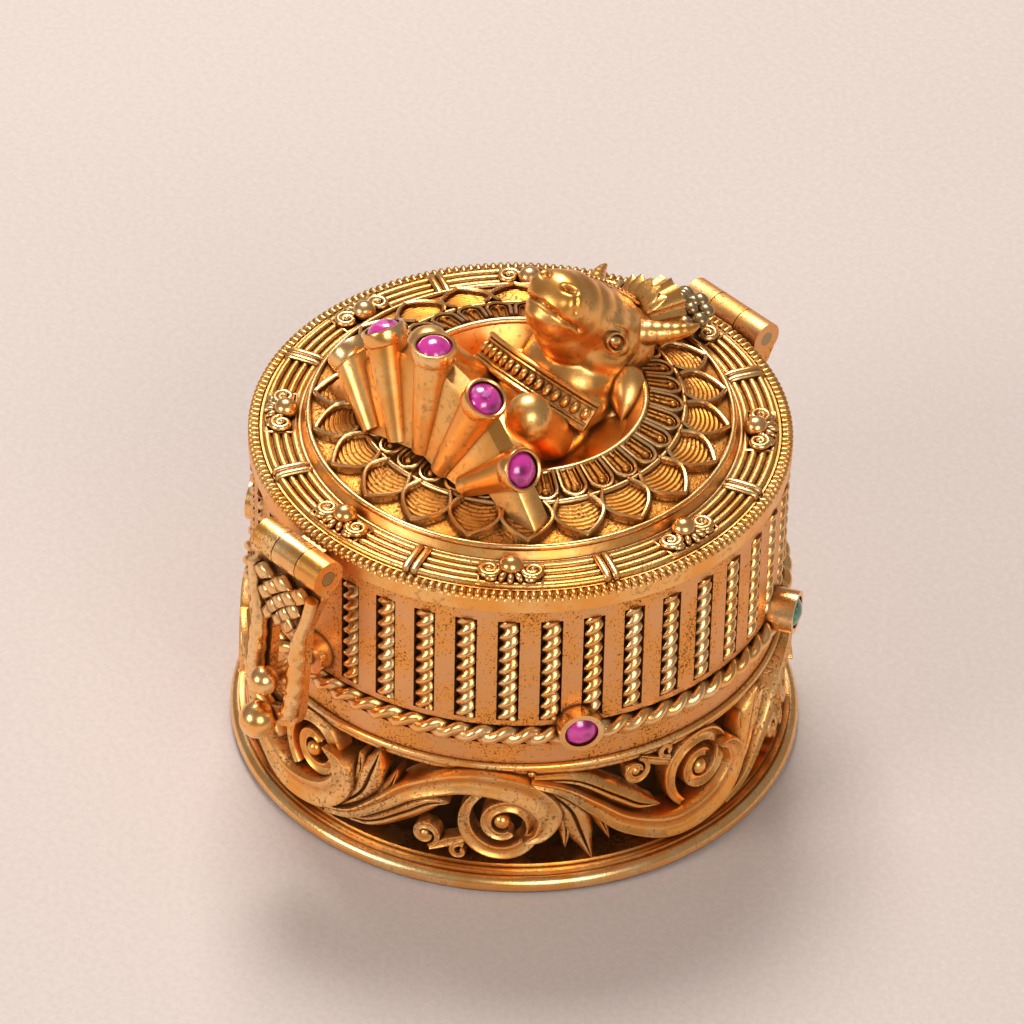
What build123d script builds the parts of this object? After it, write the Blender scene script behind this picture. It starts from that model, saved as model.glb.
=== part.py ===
"""Round footed sindoor box with a hinged lid, a bull figure, a jewelled fan and a hasp.

Millimetres, +Z up. The origin is the centre of the foot's underside, on the box's axis.
The hinge is at +Y and the hasp at -Y.
"""
from build123d import *
from math import cos, radians, sin
import os

# Foot, openwork gallery and drum
FOOT_R = 26.9
FOOT_BORE_R = 23.0
FOOT_TOP_Z = 2.6
FOOT_ROLL_R = 26.2
FOOT_ROLL_Z = 1.7
FOOT_STEP_R = 26.0
FOOT_STEP_Z = 2.15
FOOT_LIP_R = 25.4
FOOT_PLATE_THICK = 1.0
GALLERY_R = 24.8
GALLERY_WALL = 1.4
GALLERY_HOLES = 24
GALLERY_HOLE_R = 2.6
GALLERY_EYE_R = 1.2
GALLERY_EYE_RISE = 3.4
DRUM_R = 24.6
DRUM_WALL = 2.2
DRUM_BOTTOM_Z = 13.8
DRUM_TOP_Z = 31.9
DRUM_FLOOR_THICK = 1.2

# Drum ornament
SLOT_COUNT = 40
SLOT_WIDTH = 2.0
SLOT_DEPTH = 1.5
SLOT_LOW_Z = 19.2
SLOT_HIGH_Z = 30.7
COLUMN_R = 0.85
COLUMN_RING_R = 24.0
ROPE_LOW_Z = 16.4
ROPE_R = 1.1
ROPE_SEAT_DEPTH = 0.7
STATION_Z = 18.6
STONE_R = 1.55
STONE_GIRDLE = 0.35
BEZEL_R = 2.05
BEZEL_OUT = 26.2
TALL_BEZEL_OUT = 27.0
RUBY_ANGLES = (210, 330)
EMERALD_ANGLES = (30, 150)

# Seat collar inside the mouth
SEAT_WALL = 1.0
SEAT_LOW_Z = 28.0
SEAT_HIGH_Z = 32.7

# Lid
LID_R = 25.0
LID_LOW_Z = 32.1
LID_SKIRT_BORE_R = 23.4
RIM_Z = 33.8
MILLED_LOW_Z = 33.4
MILLED_HIGH_Z = 34.0
MILLED_IN_R = 23.9
LID_SKIN = 0.9
WIRE_RADII = (20.75, 21.6, 22.45, 23.3)
WIRE_HALF = 0.4
DISC_FOOT_R = 20.3
DISC_R = 19.7
DISC_EDGE_Z = 34.9
DISC_SLOPE = 0.28
WELL_R = 11.0
WELL_LAND_R = 11.8
WELL_FLOOR_Z = 33.9
WELL_CORNER = 1.3
WELL_BEND = 4.5
WELL_BEND_RISE = 0.2
SKIN_OFFSET = 0.7
CLIP_ANGLES = tuple(range(0, 360, 45))
CLIP_RING_R = 21.9
CLIP_R = 1.35
CLIP_TALL = 1.1
TIE_WIDTH = 1.5
TIE_TALL = 0.75
CLIP_CONE_TALL = 0.4
PETAL_COUNT = 22
PETAL_IN_R = 15.0
PETAL_TIP_R = 19.3
PETAL_SHOULDER_R = 17.2
PETAL_BEND_R = 18.7
PETAL_FLARE = 0.3
PETAL_GAP = 0.15
PETAL_THICK = 0.45
LOOP_COUNT = 32
LOOP_RING_R = 13.35
LOOP_R = 1.25
LOOP_WALL = 0.35
LOOP_THICK = 0.45
LOOP_BEAD_R = 0.5
LOOP_BEAD_TALL = 0.75

# Fan of stone-tipped cones
FAN_Y = -10.9
FAN_CENTRE_Z = RIM_Z + 1.2
FAN_THICK = 3.0
FAN_ANGLES = (28, 59, 90, 121, 152)
FAN_WEB_R = 11.4
FAN_FOOT_X = 14.6
CONE_START = 4.0
CONE_END = 12.2
CONE_SMALL_R = 0.85
CONE_LARGE_R = 1.8
CUP_R = 2.05
CUP_TALL = 1.4
CUP_POCKET = 0.7
FAN_STONE_R = 1.6
FAN_STONE_RISE = 0.9
DRUM_STONE_RISE = 0.75
FAN_FOOT_RISE = 0.9

# Bull
MUZZLE = (0, 4.4, RIM_Z + 13.6)
MUZZLE_R = 2.9
CROWN = (0, 11.6, RIM_Z + 6.6)
CROWN_R = 4.6
NECK_BASE = (0, 2.8, RIM_Z + 0.4)
NECK_TILT = 20
NECK_BASE_R = 7.0
NECK_TOP_R = 4.4
NECK_LONG = 8.0
KNEE = (6.7, -5.4, RIM_Z + 9.0)
KNEE_R = 2.1
ELBOW = (5.4, 0.6, RIM_Z + 1.8)
LEG_R = 1.5
EAR_CENTRE = (7.1, 8.0, RIM_Z + 3.4)
EAR_HALF = (1.1, 2.0, 2.8)
HORN_FOOT = (3.4, 12.2, RIM_Z + 6.8)
HORN_TIP = (6.2, 15.2, RIM_Z + 9.4)
HORN_R = 1.1
NECKLACE_R = 7.4
NECKLACE_HALF = 0.8
NECKLACE_RISE = 1.6
CREST_CENTRE = (0, 16.4, RIM_Z + 4.6)
CREST_R = 2.6
CREST_BEAD_R = 1.5
CREST_BEADS = 5

# Back hinge
HINGE_Y = 26.9
HINGE_Z = 32.9
HINGE_R = 1.6
HINGE_LONG = 9.6
LID_KNUCKLE_LONG = 3.4
PIN_R = 0.7
PIN_CLEARANCE = 0.05
END_CLEARANCE = 0.1
LEAF_LOW_Z = 27.5
LEAF_IN_Y = 24.0
LEAF_OUT_Y = 25.6
LEAF_BACK_Y = 27.9
LEAF_BEND_Z = 31.5
LEAF_CLEAR_Y = 25.35
TAB_IN_Y = 24.2
TAB_LOW_Z = 32.25
TAB_THICK = 1.1

# Front hasp and post
CLASP_Y = -27.3
CLASP_Z = 33.0
CLASP_R = 1.7
CLASP_LONG = 8.6
CLASP_KNUCKLE_LONG = 3.0
HASP_TILT = 5.4
HASP_THICK = 1.0
HASP_HALF_TOP = 4.3
HASP_HALF_LOW = 2.75
HASP_CORNER_Z = -2.2
HASP_SHOULDER_Z = -6.5
HASP_END_Z = -15.6
HASP_SLOT_HALF = 1.6
HASP_SLOT_HIGH = -7.6
HASP_SLOT_LOW = -13.1
THUMB_R = 1.75
THUMB_Z = -16.9
THUMB_OUT = 3.15
POST_Z = 20.7
POST_NECK_R = 0.8
POST_BALL_R = 1.4
POST_BALL_Y = -31.3
POST_BOSS_R = 1.85
POST_BOSS_Y = -26.0
CLASP_TAB_LOW_Z = 32.3
CLASP_TAB_THICK = 1.05
THROUGH = 8

BASE = (Align.CENTER, Align.CENTER, Align.MIN)
FRONT_ANGLE = 270
BACK_ANGLE = 90


def turned(points):
    """Solid of revolution about Z from (radius, height) points."""
    outline = Polyline(*points, close=True)
    return revolve(make_face(Plane.XZ * outline), Axis.Z)


def ring(r_in, r_out, z_low, z_high):
    """Flat-sided ring about Z."""
    return turned([(r_in, z_low), (r_out, z_low), (r_out, z_high), (r_in, z_high)])


def disc(radius, z_low, z_high):
    """Solid disc about Z."""
    return Pos(0, 0, z_low) * Cylinder(radius, z_high - z_low, align=BASE)


def half_round_ring(radius, half_width, z):
    """Half-round wire lying flat at height z."""
    arc = ThreePointArc((radius - half_width, z), (radius, z + half_width), (radius + half_width, z))
    flat = Line((radius + half_width, z), (radius - half_width, z))
    return revolve(make_face(Plane.XZ * (arc + flat)), Axis.Z)


def turn(part, angle):
    """Turn a part that was modelled on +X about the box's axis."""
    return Rot(0, 0, angle) * part


def outward(part, angle, z):
    """Stand a part that was modelled along +Z so that it points out from the axis."""
    return Rot(0, 0, angle) * Pos(0, 0, z) * Rot(0, 90, 0) * part


def between(start, end):
    """Placement at start whose +Z points to end, and the distance."""
    step = Vector(*end) - Vector(*start)
    return Location(Plane(origin=start, z_dir=step)), step.length


def solids_only(shape):
    """One compound of a shape's solids."""
    return Compound(children=[Solid(s.wrapped) for s in shape.solids()])


def cut(shape, *tools):
    """A shape with each tool taken away."""
    for tool in tools:
        shape = shape - tool
    return shape


def ring_of(piece, count, figures):
    """Evenly turned copies of a piece from the front, less what the figures cover."""
    pitch = 360 / count
    pieces = Compound(children=[turn(piece, FRONT_ANGLE + k * pitch) for k in range(count)])
    return solids_only(cut(pieces, *figures))


def joined(parts):
    """All parts in one shape, fused where they meet."""
    total = parts[0]
    for part in parts[1:]:
        total = total + part
    return total


def cabochon(radius, rise):
    """Domed stone with a flat back at z = 0, along +Z."""
    top = STONE_GIRDLE + rise
    dome_r = (radius ** 2 + rise ** 2) / (2 * rise)
    return Cylinder(radius, top, align=BASE) & Pos(0, 0, top - dome_r) * Sphere(dome_r)


def tapered(start, end, start_r, end_r):
    """Cone between two balls of its own end sizes."""
    place, long = between(start, end)
    cone = place * Cone(start_r, end_r, long, align=BASE)
    return cone + Pos(*start) * Sphere(start_r) + Pos(*end) * Sphere(end_r)


def disc_surface_z(radius):
    """Height of the lid's sloping lotus disc."""
    return DISC_EDGE_Z + (DISC_R - radius) * DISC_SLOPE


def disc_layer(r_in, r_out, thickness):
    """Layer that lies on the lotus disc."""
    low_in = disc_surface_z(r_in)
    low_out = disc_surface_z(r_out)
    return turned([(r_in, low_in), (r_out, low_out), (r_out, low_out + thickness), (r_in, low_in + thickness)])


def make_foot_ring():
    low = Polyline((FOOT_BORE_R, 0), (FOOT_ROLL_R, 0))
    roll = ThreePointArc((FOOT_ROLL_R, 0), (FOOT_R, FOOT_ROLL_Z / 2), (FOOT_ROLL_R, FOOT_ROLL_Z))
    steps = Polyline((FOOT_ROLL_R, FOOT_ROLL_Z), (FOOT_STEP_R, FOOT_ROLL_Z), (FOOT_STEP_R, FOOT_STEP_Z),
                     (FOOT_LIP_R, FOOT_STEP_Z), (FOOT_LIP_R, FOOT_TOP_Z), (FOOT_BORE_R, FOOT_TOP_Z),
                     (FOOT_BORE_R, 0))
    return revolve(make_face(Plane.XZ * (low + roll + steps)), Axis.Z)


def make_foot_plate():
    return disc(FOOT_BORE_R, 0, FOOT_PLATE_THICK)


def make_scroll_gallery():
    wall = ring(GALLERY_R - GALLERY_WALL, GALLERY_R, FOOT_TOP_Z, DRUM_BOTTOM_Z)
    middle_z = (FOOT_TOP_Z + DRUM_BOTTOM_Z) / 2
    pitch = 360 / GALLERY_HOLES
    reach = GALLERY_R + 5
    hole = Cylinder(GALLERY_HOLE_R, reach, align=BASE)
    eye = Cylinder(GALLERY_EYE_R, reach, align=BASE)
    tools = []
    for k in range(GALLERY_HOLES):
        tools.append(outward(hole, k * pitch, middle_z))
        tools.append(outward(eye, (k + 0.5) * pitch, middle_z + GALLERY_EYE_RISE))
        tools.append(outward(eye, (k + 0.5) * pitch, middle_z - GALLERY_EYE_RISE))
    return wall - tools


def station_tools(radius, long):
    """Cylinders along the four stone stations."""
    peg = Cylinder(radius, long, align=BASE)
    return [outward(peg, angle, STATION_Z) for angle in RUBY_ANGLES + EMERALD_ANGLES]


def column_angles():
    """Slot angles, less those behind the hinge leaves and the post."""
    pitch = 360 / SLOT_COUNT
    angles = [k * pitch for k in range(SLOT_COUNT)]
    behind_hinge = 1.5 * pitch
    return [a for a in angles if abs(a - BACK_ANGLE) > behind_hinge and a != FRONT_ANGLE]


def make_drum_wall():
    rope_high = ROPE_LOW_Z + 2 * ROPE_R
    seat_r = DRUM_R - ROPE_SEAT_DEPTH
    wall = turned([(DRUM_R - DRUM_WALL, DRUM_BOTTOM_Z), (DRUM_R, DRUM_BOTTOM_Z), (DRUM_R, ROPE_LOW_Z),
                   (seat_r, ROPE_LOW_Z), (seat_r, rope_high), (DRUM_R, rope_high), (DRUM_R, DRUM_TOP_Z),
                   (DRUM_R - DRUM_WALL, DRUM_TOP_Z)])
    slot_tall = SLOT_HIGH_Z - SLOT_LOW_Z
    slot = Pos(DRUM_R - SLOT_DEPTH, 0, SLOT_LOW_Z) * Box(
        SLOT_DEPTH + 2, SLOT_WIDTH, slot_tall, align=(Align.MIN, Align.CENTER, Align.MIN))
    slots = [turn(slot, angle) for angle in column_angles()]
    pegs = station_tools(BEZEL_R, DRUM_R + 3)
    core = disc(seat_r, DRUM_BOTTOM_Z, DRUM_TOP_Z)
    return wall - slots - [peg - core for peg in pegs]


def make_drum_floor():
    return disc(DRUM_R - DRUM_WALL, DRUM_BOTTOM_Z, DRUM_BOTTOM_Z + DRUM_FLOOR_THICK)


def make_rope_columns():
    column = Pos(COLUMN_RING_R, 0, 0) * disc(COLUMN_R, SLOT_LOW_Z, SLOT_HIGH_Z)
    columns = Compound(children=[turn(column, angle) for angle in column_angles()])
    return solids_only(cut(columns, *station_tools(BEZEL_R, DRUM_R + 3)))


def make_rope_band():
    seat_r = DRUM_R - ROPE_SEAT_DEPTH
    edge_r = DRUM_R - 0.1
    high = ROPE_LOW_Z + 2 * ROPE_R
    back = Polyline((edge_r, high), (seat_r, high), (seat_r, ROPE_LOW_Z), (edge_r, ROPE_LOW_Z))
    front = ThreePointArc((edge_r, ROPE_LOW_Z), (edge_r + ROPE_R, ROPE_LOW_Z + ROPE_R), (edge_r, high))
    band = revolve(make_face(Plane.XZ * (back + front)), Axis.Z)
    return solids_only(cut(band, *station_tools(BEZEL_R, DRUM_R + 3)))


def bezel_out(angle):
    """How far a stone's bezel stands out from the axis."""
    return TALL_BEZEL_OUT if angle in EMERALD_ANGLES else BEZEL_OUT


def make_drum_bezels():
    seat_r = DRUM_R - ROPE_SEAT_DEPTH
    core = disc(seat_r, DRUM_BOTTOM_Z, DRUM_TOP_Z)
    bezels = []
    for angle in RUBY_ANGLES + EMERALD_ANGLES:
        out = bezel_out(angle)
        peg = Cylinder(BEZEL_R, out, align=BASE)
        pocket = Pos(0, 0, out - CUP_POCKET) * Cylinder(STONE_R, CUP_POCKET, align=BASE)
        bezels.append(outward(peg - pocket, angle, STATION_Z) - core)
    return Compound(children=bezels)


def drum_stones(angles):
    stones = []
    for angle in angles:
        base = bezel_out(angle) - CUP_POCKET
        stones.append(outward(Pos(0, 0, base) * cabochon(STONE_R, DRUM_STONE_RISE), angle, STATION_Z))
    return Compound(children=stones)


def make_inner_rim():
    r_out = DRUM_R - DRUM_WALL
    return ring(r_out - SEAT_WALL, r_out, SEAT_LOW_Z, SEAT_HIGH_Z)


def make_clasp_post():
    core = disc(DRUM_R, DRUM_BOTTOM_Z, DRUM_TOP_Z)
    neck = outward(Cylinder(POST_NECK_R, -POST_BALL_Y, align=BASE), FRONT_ANGLE, POST_Z)
    boss = outward(Cylinder(POST_BOSS_R, -POST_BOSS_Y, align=BASE), FRONT_ANGLE, POST_Z)
    ball = Pos(0, POST_BALL_Y, POST_Z) * Sphere(POST_BALL_R)
    return cut(neck + boss, core) + ball


def barrel(radius, length, x_centre, y, z):
    """Cylinder along X."""
    return Pos(x_centre, y, z) * Rot(0, 90, 0) * Cylinder(radius, length)


def make_box_knuckle(side):
    """One outer knuckle with its leaf on the drum; side is -1 or 1."""
    inner_x = LID_KNUCKLE_LONG / 2 + END_CLEARANCE
    long = HINGE_LONG / 2 - inner_x
    centre_x = side * (inner_x + long / 2)
    leaf_high_z = DRUM_TOP_Z - END_CLEARANCE
    outline = Polyline((LEAF_IN_Y, LEAF_LOW_Z), (LEAF_OUT_Y, LEAF_LOW_Z), (LEAF_BACK_Y, LEAF_BEND_Z),
                       (LEAF_BACK_Y, HINGE_Z), (LEAF_CLEAR_Y, HINGE_Z), (LEAF_CLEAR_Y, leaf_high_z),
                       (LEAF_IN_Y, leaf_high_z), close=True)
    leaf = Pos(centre_x - long / 2, 0, 0) * extrude(make_face(Plane.YZ * outline), long)
    knuckle = leaf + barrel(HINGE_R, long, centre_x, HINGE_Y, HINGE_Z)
    drum = disc(DRUM_R, DRUM_BOTTOM_Z, DRUM_TOP_Z)
    return cut(knuckle, drum, barrel(PIN_R, HINGE_LONG + 2, 0, HINGE_Y, HINGE_Z))


def make_hinge_pin():
    return barrel(PIN_R, HINGE_LONG, 0, HINGE_Y, HINGE_Z)


def make_lid_shell():
    land_z = disc_surface_z(WELL_LAND_R)
    top = [(LID_R, LID_LOW_Z), (LID_R, MILLED_LOW_Z), (MILLED_IN_R, MILLED_LOW_Z), (MILLED_IN_R, RIM_Z),
           (DISC_FOOT_R, RIM_Z), (DISC_R, DISC_EDGE_Z), (WELL_LAND_R, land_z), (WELL_R, land_z),
           (WELL_R - WELL_CORNER, WELL_FLOOR_Z + WELL_CORNER),
           (WELL_R - WELL_BEND, WELL_FLOOR_Z + WELL_BEND_RISE), (0, WELL_FLOOR_Z)]
    under = [(0, WELL_FLOOR_Z - LID_SKIN), (WELL_R - WELL_BEND, WELL_FLOOR_Z + WELL_BEND_RISE - LID_SKIN),
             (WELL_R - SKIN_OFFSET, WELL_FLOOR_Z + SKIN_OFFSET), (WELL_LAND_R, land_z - LID_SKIN),
             (DISC_R - SKIN_OFFSET, DISC_EDGE_Z + WELL_BEND_RISE - LID_SKIN),
             (DISC_FOOT_R - SKIN_OFFSET, RIM_Z - LID_SKIN),
             (LID_SKIRT_BORE_R, RIM_Z - LID_SKIN), (LID_SKIRT_BORE_R, LID_LOW_Z)]
    return turned(top + under)


def make_milled_rim():
    return ring(MILLED_IN_R, LID_R, MILLED_LOW_Z, MILLED_HIGH_Z)


def tie_angles():
    return [angle + 22.5 for angle in CLIP_ANGLES]


def make_band_ties():
    long = WIRE_RADII[-1] - WIRE_RADII[0] + 2 * WIRE_HALF
    tie = Pos(WIRE_RADII[0] - WIRE_HALF, 0, RIM_Z) * Box(
        long, TIE_WIDTH, TIE_TALL, align=(Align.MIN, Align.CENTER, Align.MIN))
    return Compound(children=[turn(tie, angle) for angle in tie_angles()])


def make_band_clips():
    boss = Pos(CLIP_RING_R, 0, RIM_Z) * Cylinder(CLIP_R, CLIP_TALL, align=BASE)
    eye = Pos(CLIP_RING_R, 0, RIM_Z + CLIP_TALL) * Cone(CLIP_R * 0.7, CLIP_R * 0.35, CLIP_CONE_TALL, align=BASE)
    return Compound(children=[turn(boss + eye, angle) for angle in CLIP_ANGLES])


def make_band_wires(ties, clips):
    wires = Compound(children=[half_round_ring(r, WIRE_HALF, RIM_Z) for r in WIRE_RADII])
    return solids_only(cut(wires, ties, clips))


def make_well_rim_wire():
    middle = (WELL_R + WELL_LAND_R) / 2
    return half_round_ring(middle, (WELL_LAND_R - WELL_R) / 2, disc_surface_z(WELL_LAND_R))


def fan_point(angle, reach):
    """Point (x, z) on a fan ray."""
    return reach * cos(radians(angle)), FAN_CENTRE_Z + reach * sin(radians(angle))


def fan_plate():
    foot_z = RIM_Z + FAN_FOOT_RISE
    tips = [fan_point(angle, FAN_WEB_R) for angle in FAN_ANGLES]
    outline = Polyline((-FAN_FOOT_X, foot_z), (FAN_FOOT_X, foot_z), *tips, close=True)
    plate = extrude(make_face(Plane.XZ * outline), FAN_THICK / 2, both=True)
    return Pos(0, FAN_Y, 0) * plate


def fan_ray(angle):
    """Placement at the fan's centre with +Z along a ray."""
    return Pos(0, FAN_Y, FAN_CENTRE_Z) * Rot(0, 90 - angle, 0)


def make_fan_cones(lid_shell, well_wire):
    tall = CONE_END - CONE_START
    stem = Pos(0, 0, CONE_START) * Cone(CONE_SMALL_R, CONE_LARGE_R, tall, align=BASE)
    cup = Pos(0, 0, CONE_END) * Cylinder(CUP_R, CUP_TALL, align=BASE)
    pocket = Pos(0, 0, CONE_END + CUP_TALL - CUP_POCKET) * Cylinder(FAN_STONE_R, CUP_POCKET, align=BASE)
    cone = stem + cup - pocket
    cones = [largest(cut(fan_ray(angle) * cone, lid_shell, well_wire)) for angle in FAN_ANGLES]
    return Compound(children=cones)


def make_fan_stones():
    stone = Pos(0, 0, CONE_END + CUP_TALL - CUP_POCKET) * cabochon(FAN_STONE_R, FAN_STONE_RISE)
    return Compound(children=[fan_ray(angle) * stone for angle in FAN_ANGLES])


def make_lotus_petals(*figures):
    half = PETAL_IN_R * sin(radians(180 / PETAL_COUNT)) - PETAL_GAP
    wide = half + PETAL_FLARE
    shoulder = PETAL_SHOULDER_R
    side = Polyline((shoulder, -wide), (PETAL_IN_R, -half), (PETAL_IN_R, half), (shoulder, wide))
    tip_low = ThreePointArc((shoulder, -wide), (PETAL_BEND_R, -half * 0.72), (PETAL_TIP_R, 0))
    tip_high = ThreePointArc((shoulder, wide), (PETAL_BEND_R, half * 0.72), (PETAL_TIP_R, 0))
    prism = Pos(0, 0, RIM_Z) * extrude(make_face(side + tip_low + tip_high), THROUGH)
    layer = disc_layer(PETAL_IN_R, PETAL_TIP_R + PETAL_GAP, PETAL_THICK)
    return ring_of(layer & prism, PETAL_COUNT, figures)


def make_petal_loops(*figures):
    tube = Cylinder(LOOP_R, THROUGH, align=BASE) - Cylinder(LOOP_R - LOOP_WALL, THROUGH, align=BASE)
    layer = disc_layer(LOOP_RING_R - LOOP_R - LOOP_WALL, LOOP_RING_R + LOOP_R + LOOP_WALL, LOOP_THICK)
    return ring_of(layer & (Pos(LOOP_RING_R, 0, RIM_Z) * tube), LOOP_COUNT, figures)


def make_loop_beads(*figures):
    low_z = disc_surface_z(LOOP_RING_R + LOOP_BEAD_R)
    lid_top = disc_layer(LOOP_RING_R - 1, LOOP_RING_R + 1, -1)
    bead = Pos(LOOP_RING_R, 0, low_z) * Cylinder(LOOP_BEAD_R, LOOP_BEAD_TALL, align=BASE) - lid_top
    return ring_of(bead, LOOP_COUNT, figures)


def make_bull_head(lid_shell):
    return tapered(CROWN, MUZZLE, CROWN_R, MUZZLE_R) - lid_shell


def make_bull_neck(lid_shell, head):
    neck = Pos(*NECK_BASE) * Rot(-NECK_TILT, 0, 0) * Cone(NECK_BASE_R, NECK_TOP_R, NECK_LONG, align=BASE)
    return largest(cut(neck, lid_shell, head))


def make_bull_necklace(lid_shell, head, neck):
    band = turned([(NECKLACE_R - 2.2, -NECKLACE_HALF), (NECKLACE_R + 0.5, -NECKLACE_HALF),
                   (NECKLACE_R + 0.5, NECKLACE_HALF), (NECKLACE_R - 2.2, NECKLACE_HALF)])
    placed = Pos(*NECK_BASE) * Rot(-NECK_TILT, 0, 0) * Pos(0, 0, NECKLACE_RISE) * band
    return largest(cut(placed, neck, lid_shell, head))


def largest(shape):
    """The largest solid of a shape."""
    return max(shape.solids(), key=lambda solid: solid.volume)


def mirrored(part):
    """A part and its twin across the YZ plane."""
    return Compound(children=[part, mirror(part, about=Plane.YZ)])


def make_bull_forelegs(*neighbours):
    place, long = between(ELBOW, KNEE)
    leg = place * Cone(LEG_R * 1.25, LEG_R, long, align=BASE) + Pos(*KNEE) * Sphere(KNEE_R)
    return mirrored(largest(cut(leg, *neighbours)))


def make_bull_ears(*neighbours):
    ear = Pos(*EAR_CENTRE) * Rot(0, 18, 0) * scale(Sphere(1), by=EAR_HALF)
    return mirrored(largest(cut(ear, *neighbours)))


def make_bull_horns(*neighbours):
    place, long = between(HORN_FOOT, HORN_TIP)
    horn = place * Cone(HORN_R, HORN_R * 0.3, long, align=BASE)
    return mirrored(largest(cut(horn, *neighbours)))


def make_bull_headdress(*neighbours):
    column = Pos(CREST_CENTRE[0], CREST_CENTRE[1], RIM_Z + 1.0) * Cylinder(CREST_R * 0.7, 4.5, align=BASE)
    crest = Pos(*CREST_CENTRE) * Sphere(CREST_R)
    beads = []
    for k in range(CREST_BEADS):
        angle = radians(k * 360 / CREST_BEADS)
        offset = (CREST_R * cos(angle), CREST_R * 0.6 * sin(angle), CREST_R * 0.6)
        beads.append(Pos(*(Vector(*CREST_CENTRE) + Vector(*offset))) * Sphere(CREST_BEAD_R))
    return largest(cut(joined([crest, column] + beads), *neighbours))


def make_lid_knuckle():
    tab = Pos(0, TAB_IN_Y, TAB_LOW_Z) * Box(
        LID_KNUCKLE_LONG, HINGE_Y - TAB_IN_Y, TAB_THICK, align=(Align.CENTER, Align.MIN, Align.MIN))
    knuckle = tab + barrel(HINGE_R, LID_KNUCKLE_LONG, 0, HINGE_Y, HINGE_Z)
    bore = barrel(PIN_R + PIN_CLEARANCE, LID_KNUCKLE_LONG + 1, 0, HINGE_Y, HINGE_Z)
    return cut(knuckle, disc(LID_R, LID_LOW_Z - 1, RIM_Z + 1), bore)


def make_clasp_knuckle():
    tab = Pos(0, CLASP_Y, CLASP_TAB_LOW_Z) * Box(
        CLASP_KNUCKLE_LONG, -CLASP_Y, CLASP_TAB_THICK, align=(Align.CENTER, Align.MIN, Align.MIN))
    knuckle = tab + barrel(CLASP_R, CLASP_KNUCKLE_LONG, 0, CLASP_Y, CLASP_Z)
    bore = barrel(PIN_R, CLASP_KNUCKLE_LONG + 1, 0, CLASP_Y, CLASP_Z)
    return cut(knuckle, disc(LID_R, LID_LOW_Z - 1, RIM_Z + 1), bore)


def make_clasp_pin():
    return barrel(PIN_R, CLASP_LONG, 0, CLASP_Y, CLASP_Z)


def hasp_place():
    """Hasp frame: axis at the origin, plate hanging along -Z."""
    return Pos(0, CLASP_Y, CLASP_Z) * Rot(-HASP_TILT, 0, 0)


def make_hasp_plate():
    half_top = HASP_HALF_TOP
    half_low = HASP_HALF_LOW
    edge = Polyline((-half_low, HASP_END_Z), (-half_low, HASP_SHOULDER_Z), (-half_top, HASP_CORNER_Z),
                    (-half_top, 0), (half_top, 0), (half_top, HASP_CORNER_Z), (half_low, HASP_SHOULDER_Z),
                    (half_low, HASP_END_Z))
    end = ThreePointArc((half_low, HASP_END_Z), (0, HASP_END_Z - half_low), (-half_low, HASP_END_Z))
    plate = Pos(0, -CLASP_R + HASP_THICK, 0) * extrude(make_face(Plane.XZ * (edge + end)), HASP_THICK)
    slot_tall = HASP_SLOT_HIGH - HASP_SLOT_LOW
    slot_body = Pos(0, 0, (HASP_SLOT_HIGH + HASP_SLOT_LOW) / 2) * Box(2 * HASP_SLOT_HALF, THROUGH, slot_tall)
    slot_end = Rot(90, 0, 0) * Cylinder(HASP_SLOT_HALF, THROUGH)
    slot = slot_body + Pos(0, 0, HASP_SLOT_HIGH) * slot_end + Pos(0, 0, HASP_SLOT_LOW) * slot_end
    barrels = barrel(CLASP_R, CLASP_LONG, 0, 0, 0)
    gap = barrel(CLASP_R + 0.15, CLASP_KNUCKLE_LONG + 2 * END_CLEARANCE, 0, 0, 0)
    bore = barrel(PIN_R + PIN_CLEARANCE, CLASP_LONG + 2, 0, 0, 0)
    return hasp_place() * cut(plate + barrels, gap, bore, slot)


def make_hasp_ball(plate):
    ball = hasp_place() * Pos(0, -THUMB_OUT, THUMB_Z) * Sphere(THUMB_R)
    return ball - plate


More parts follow.
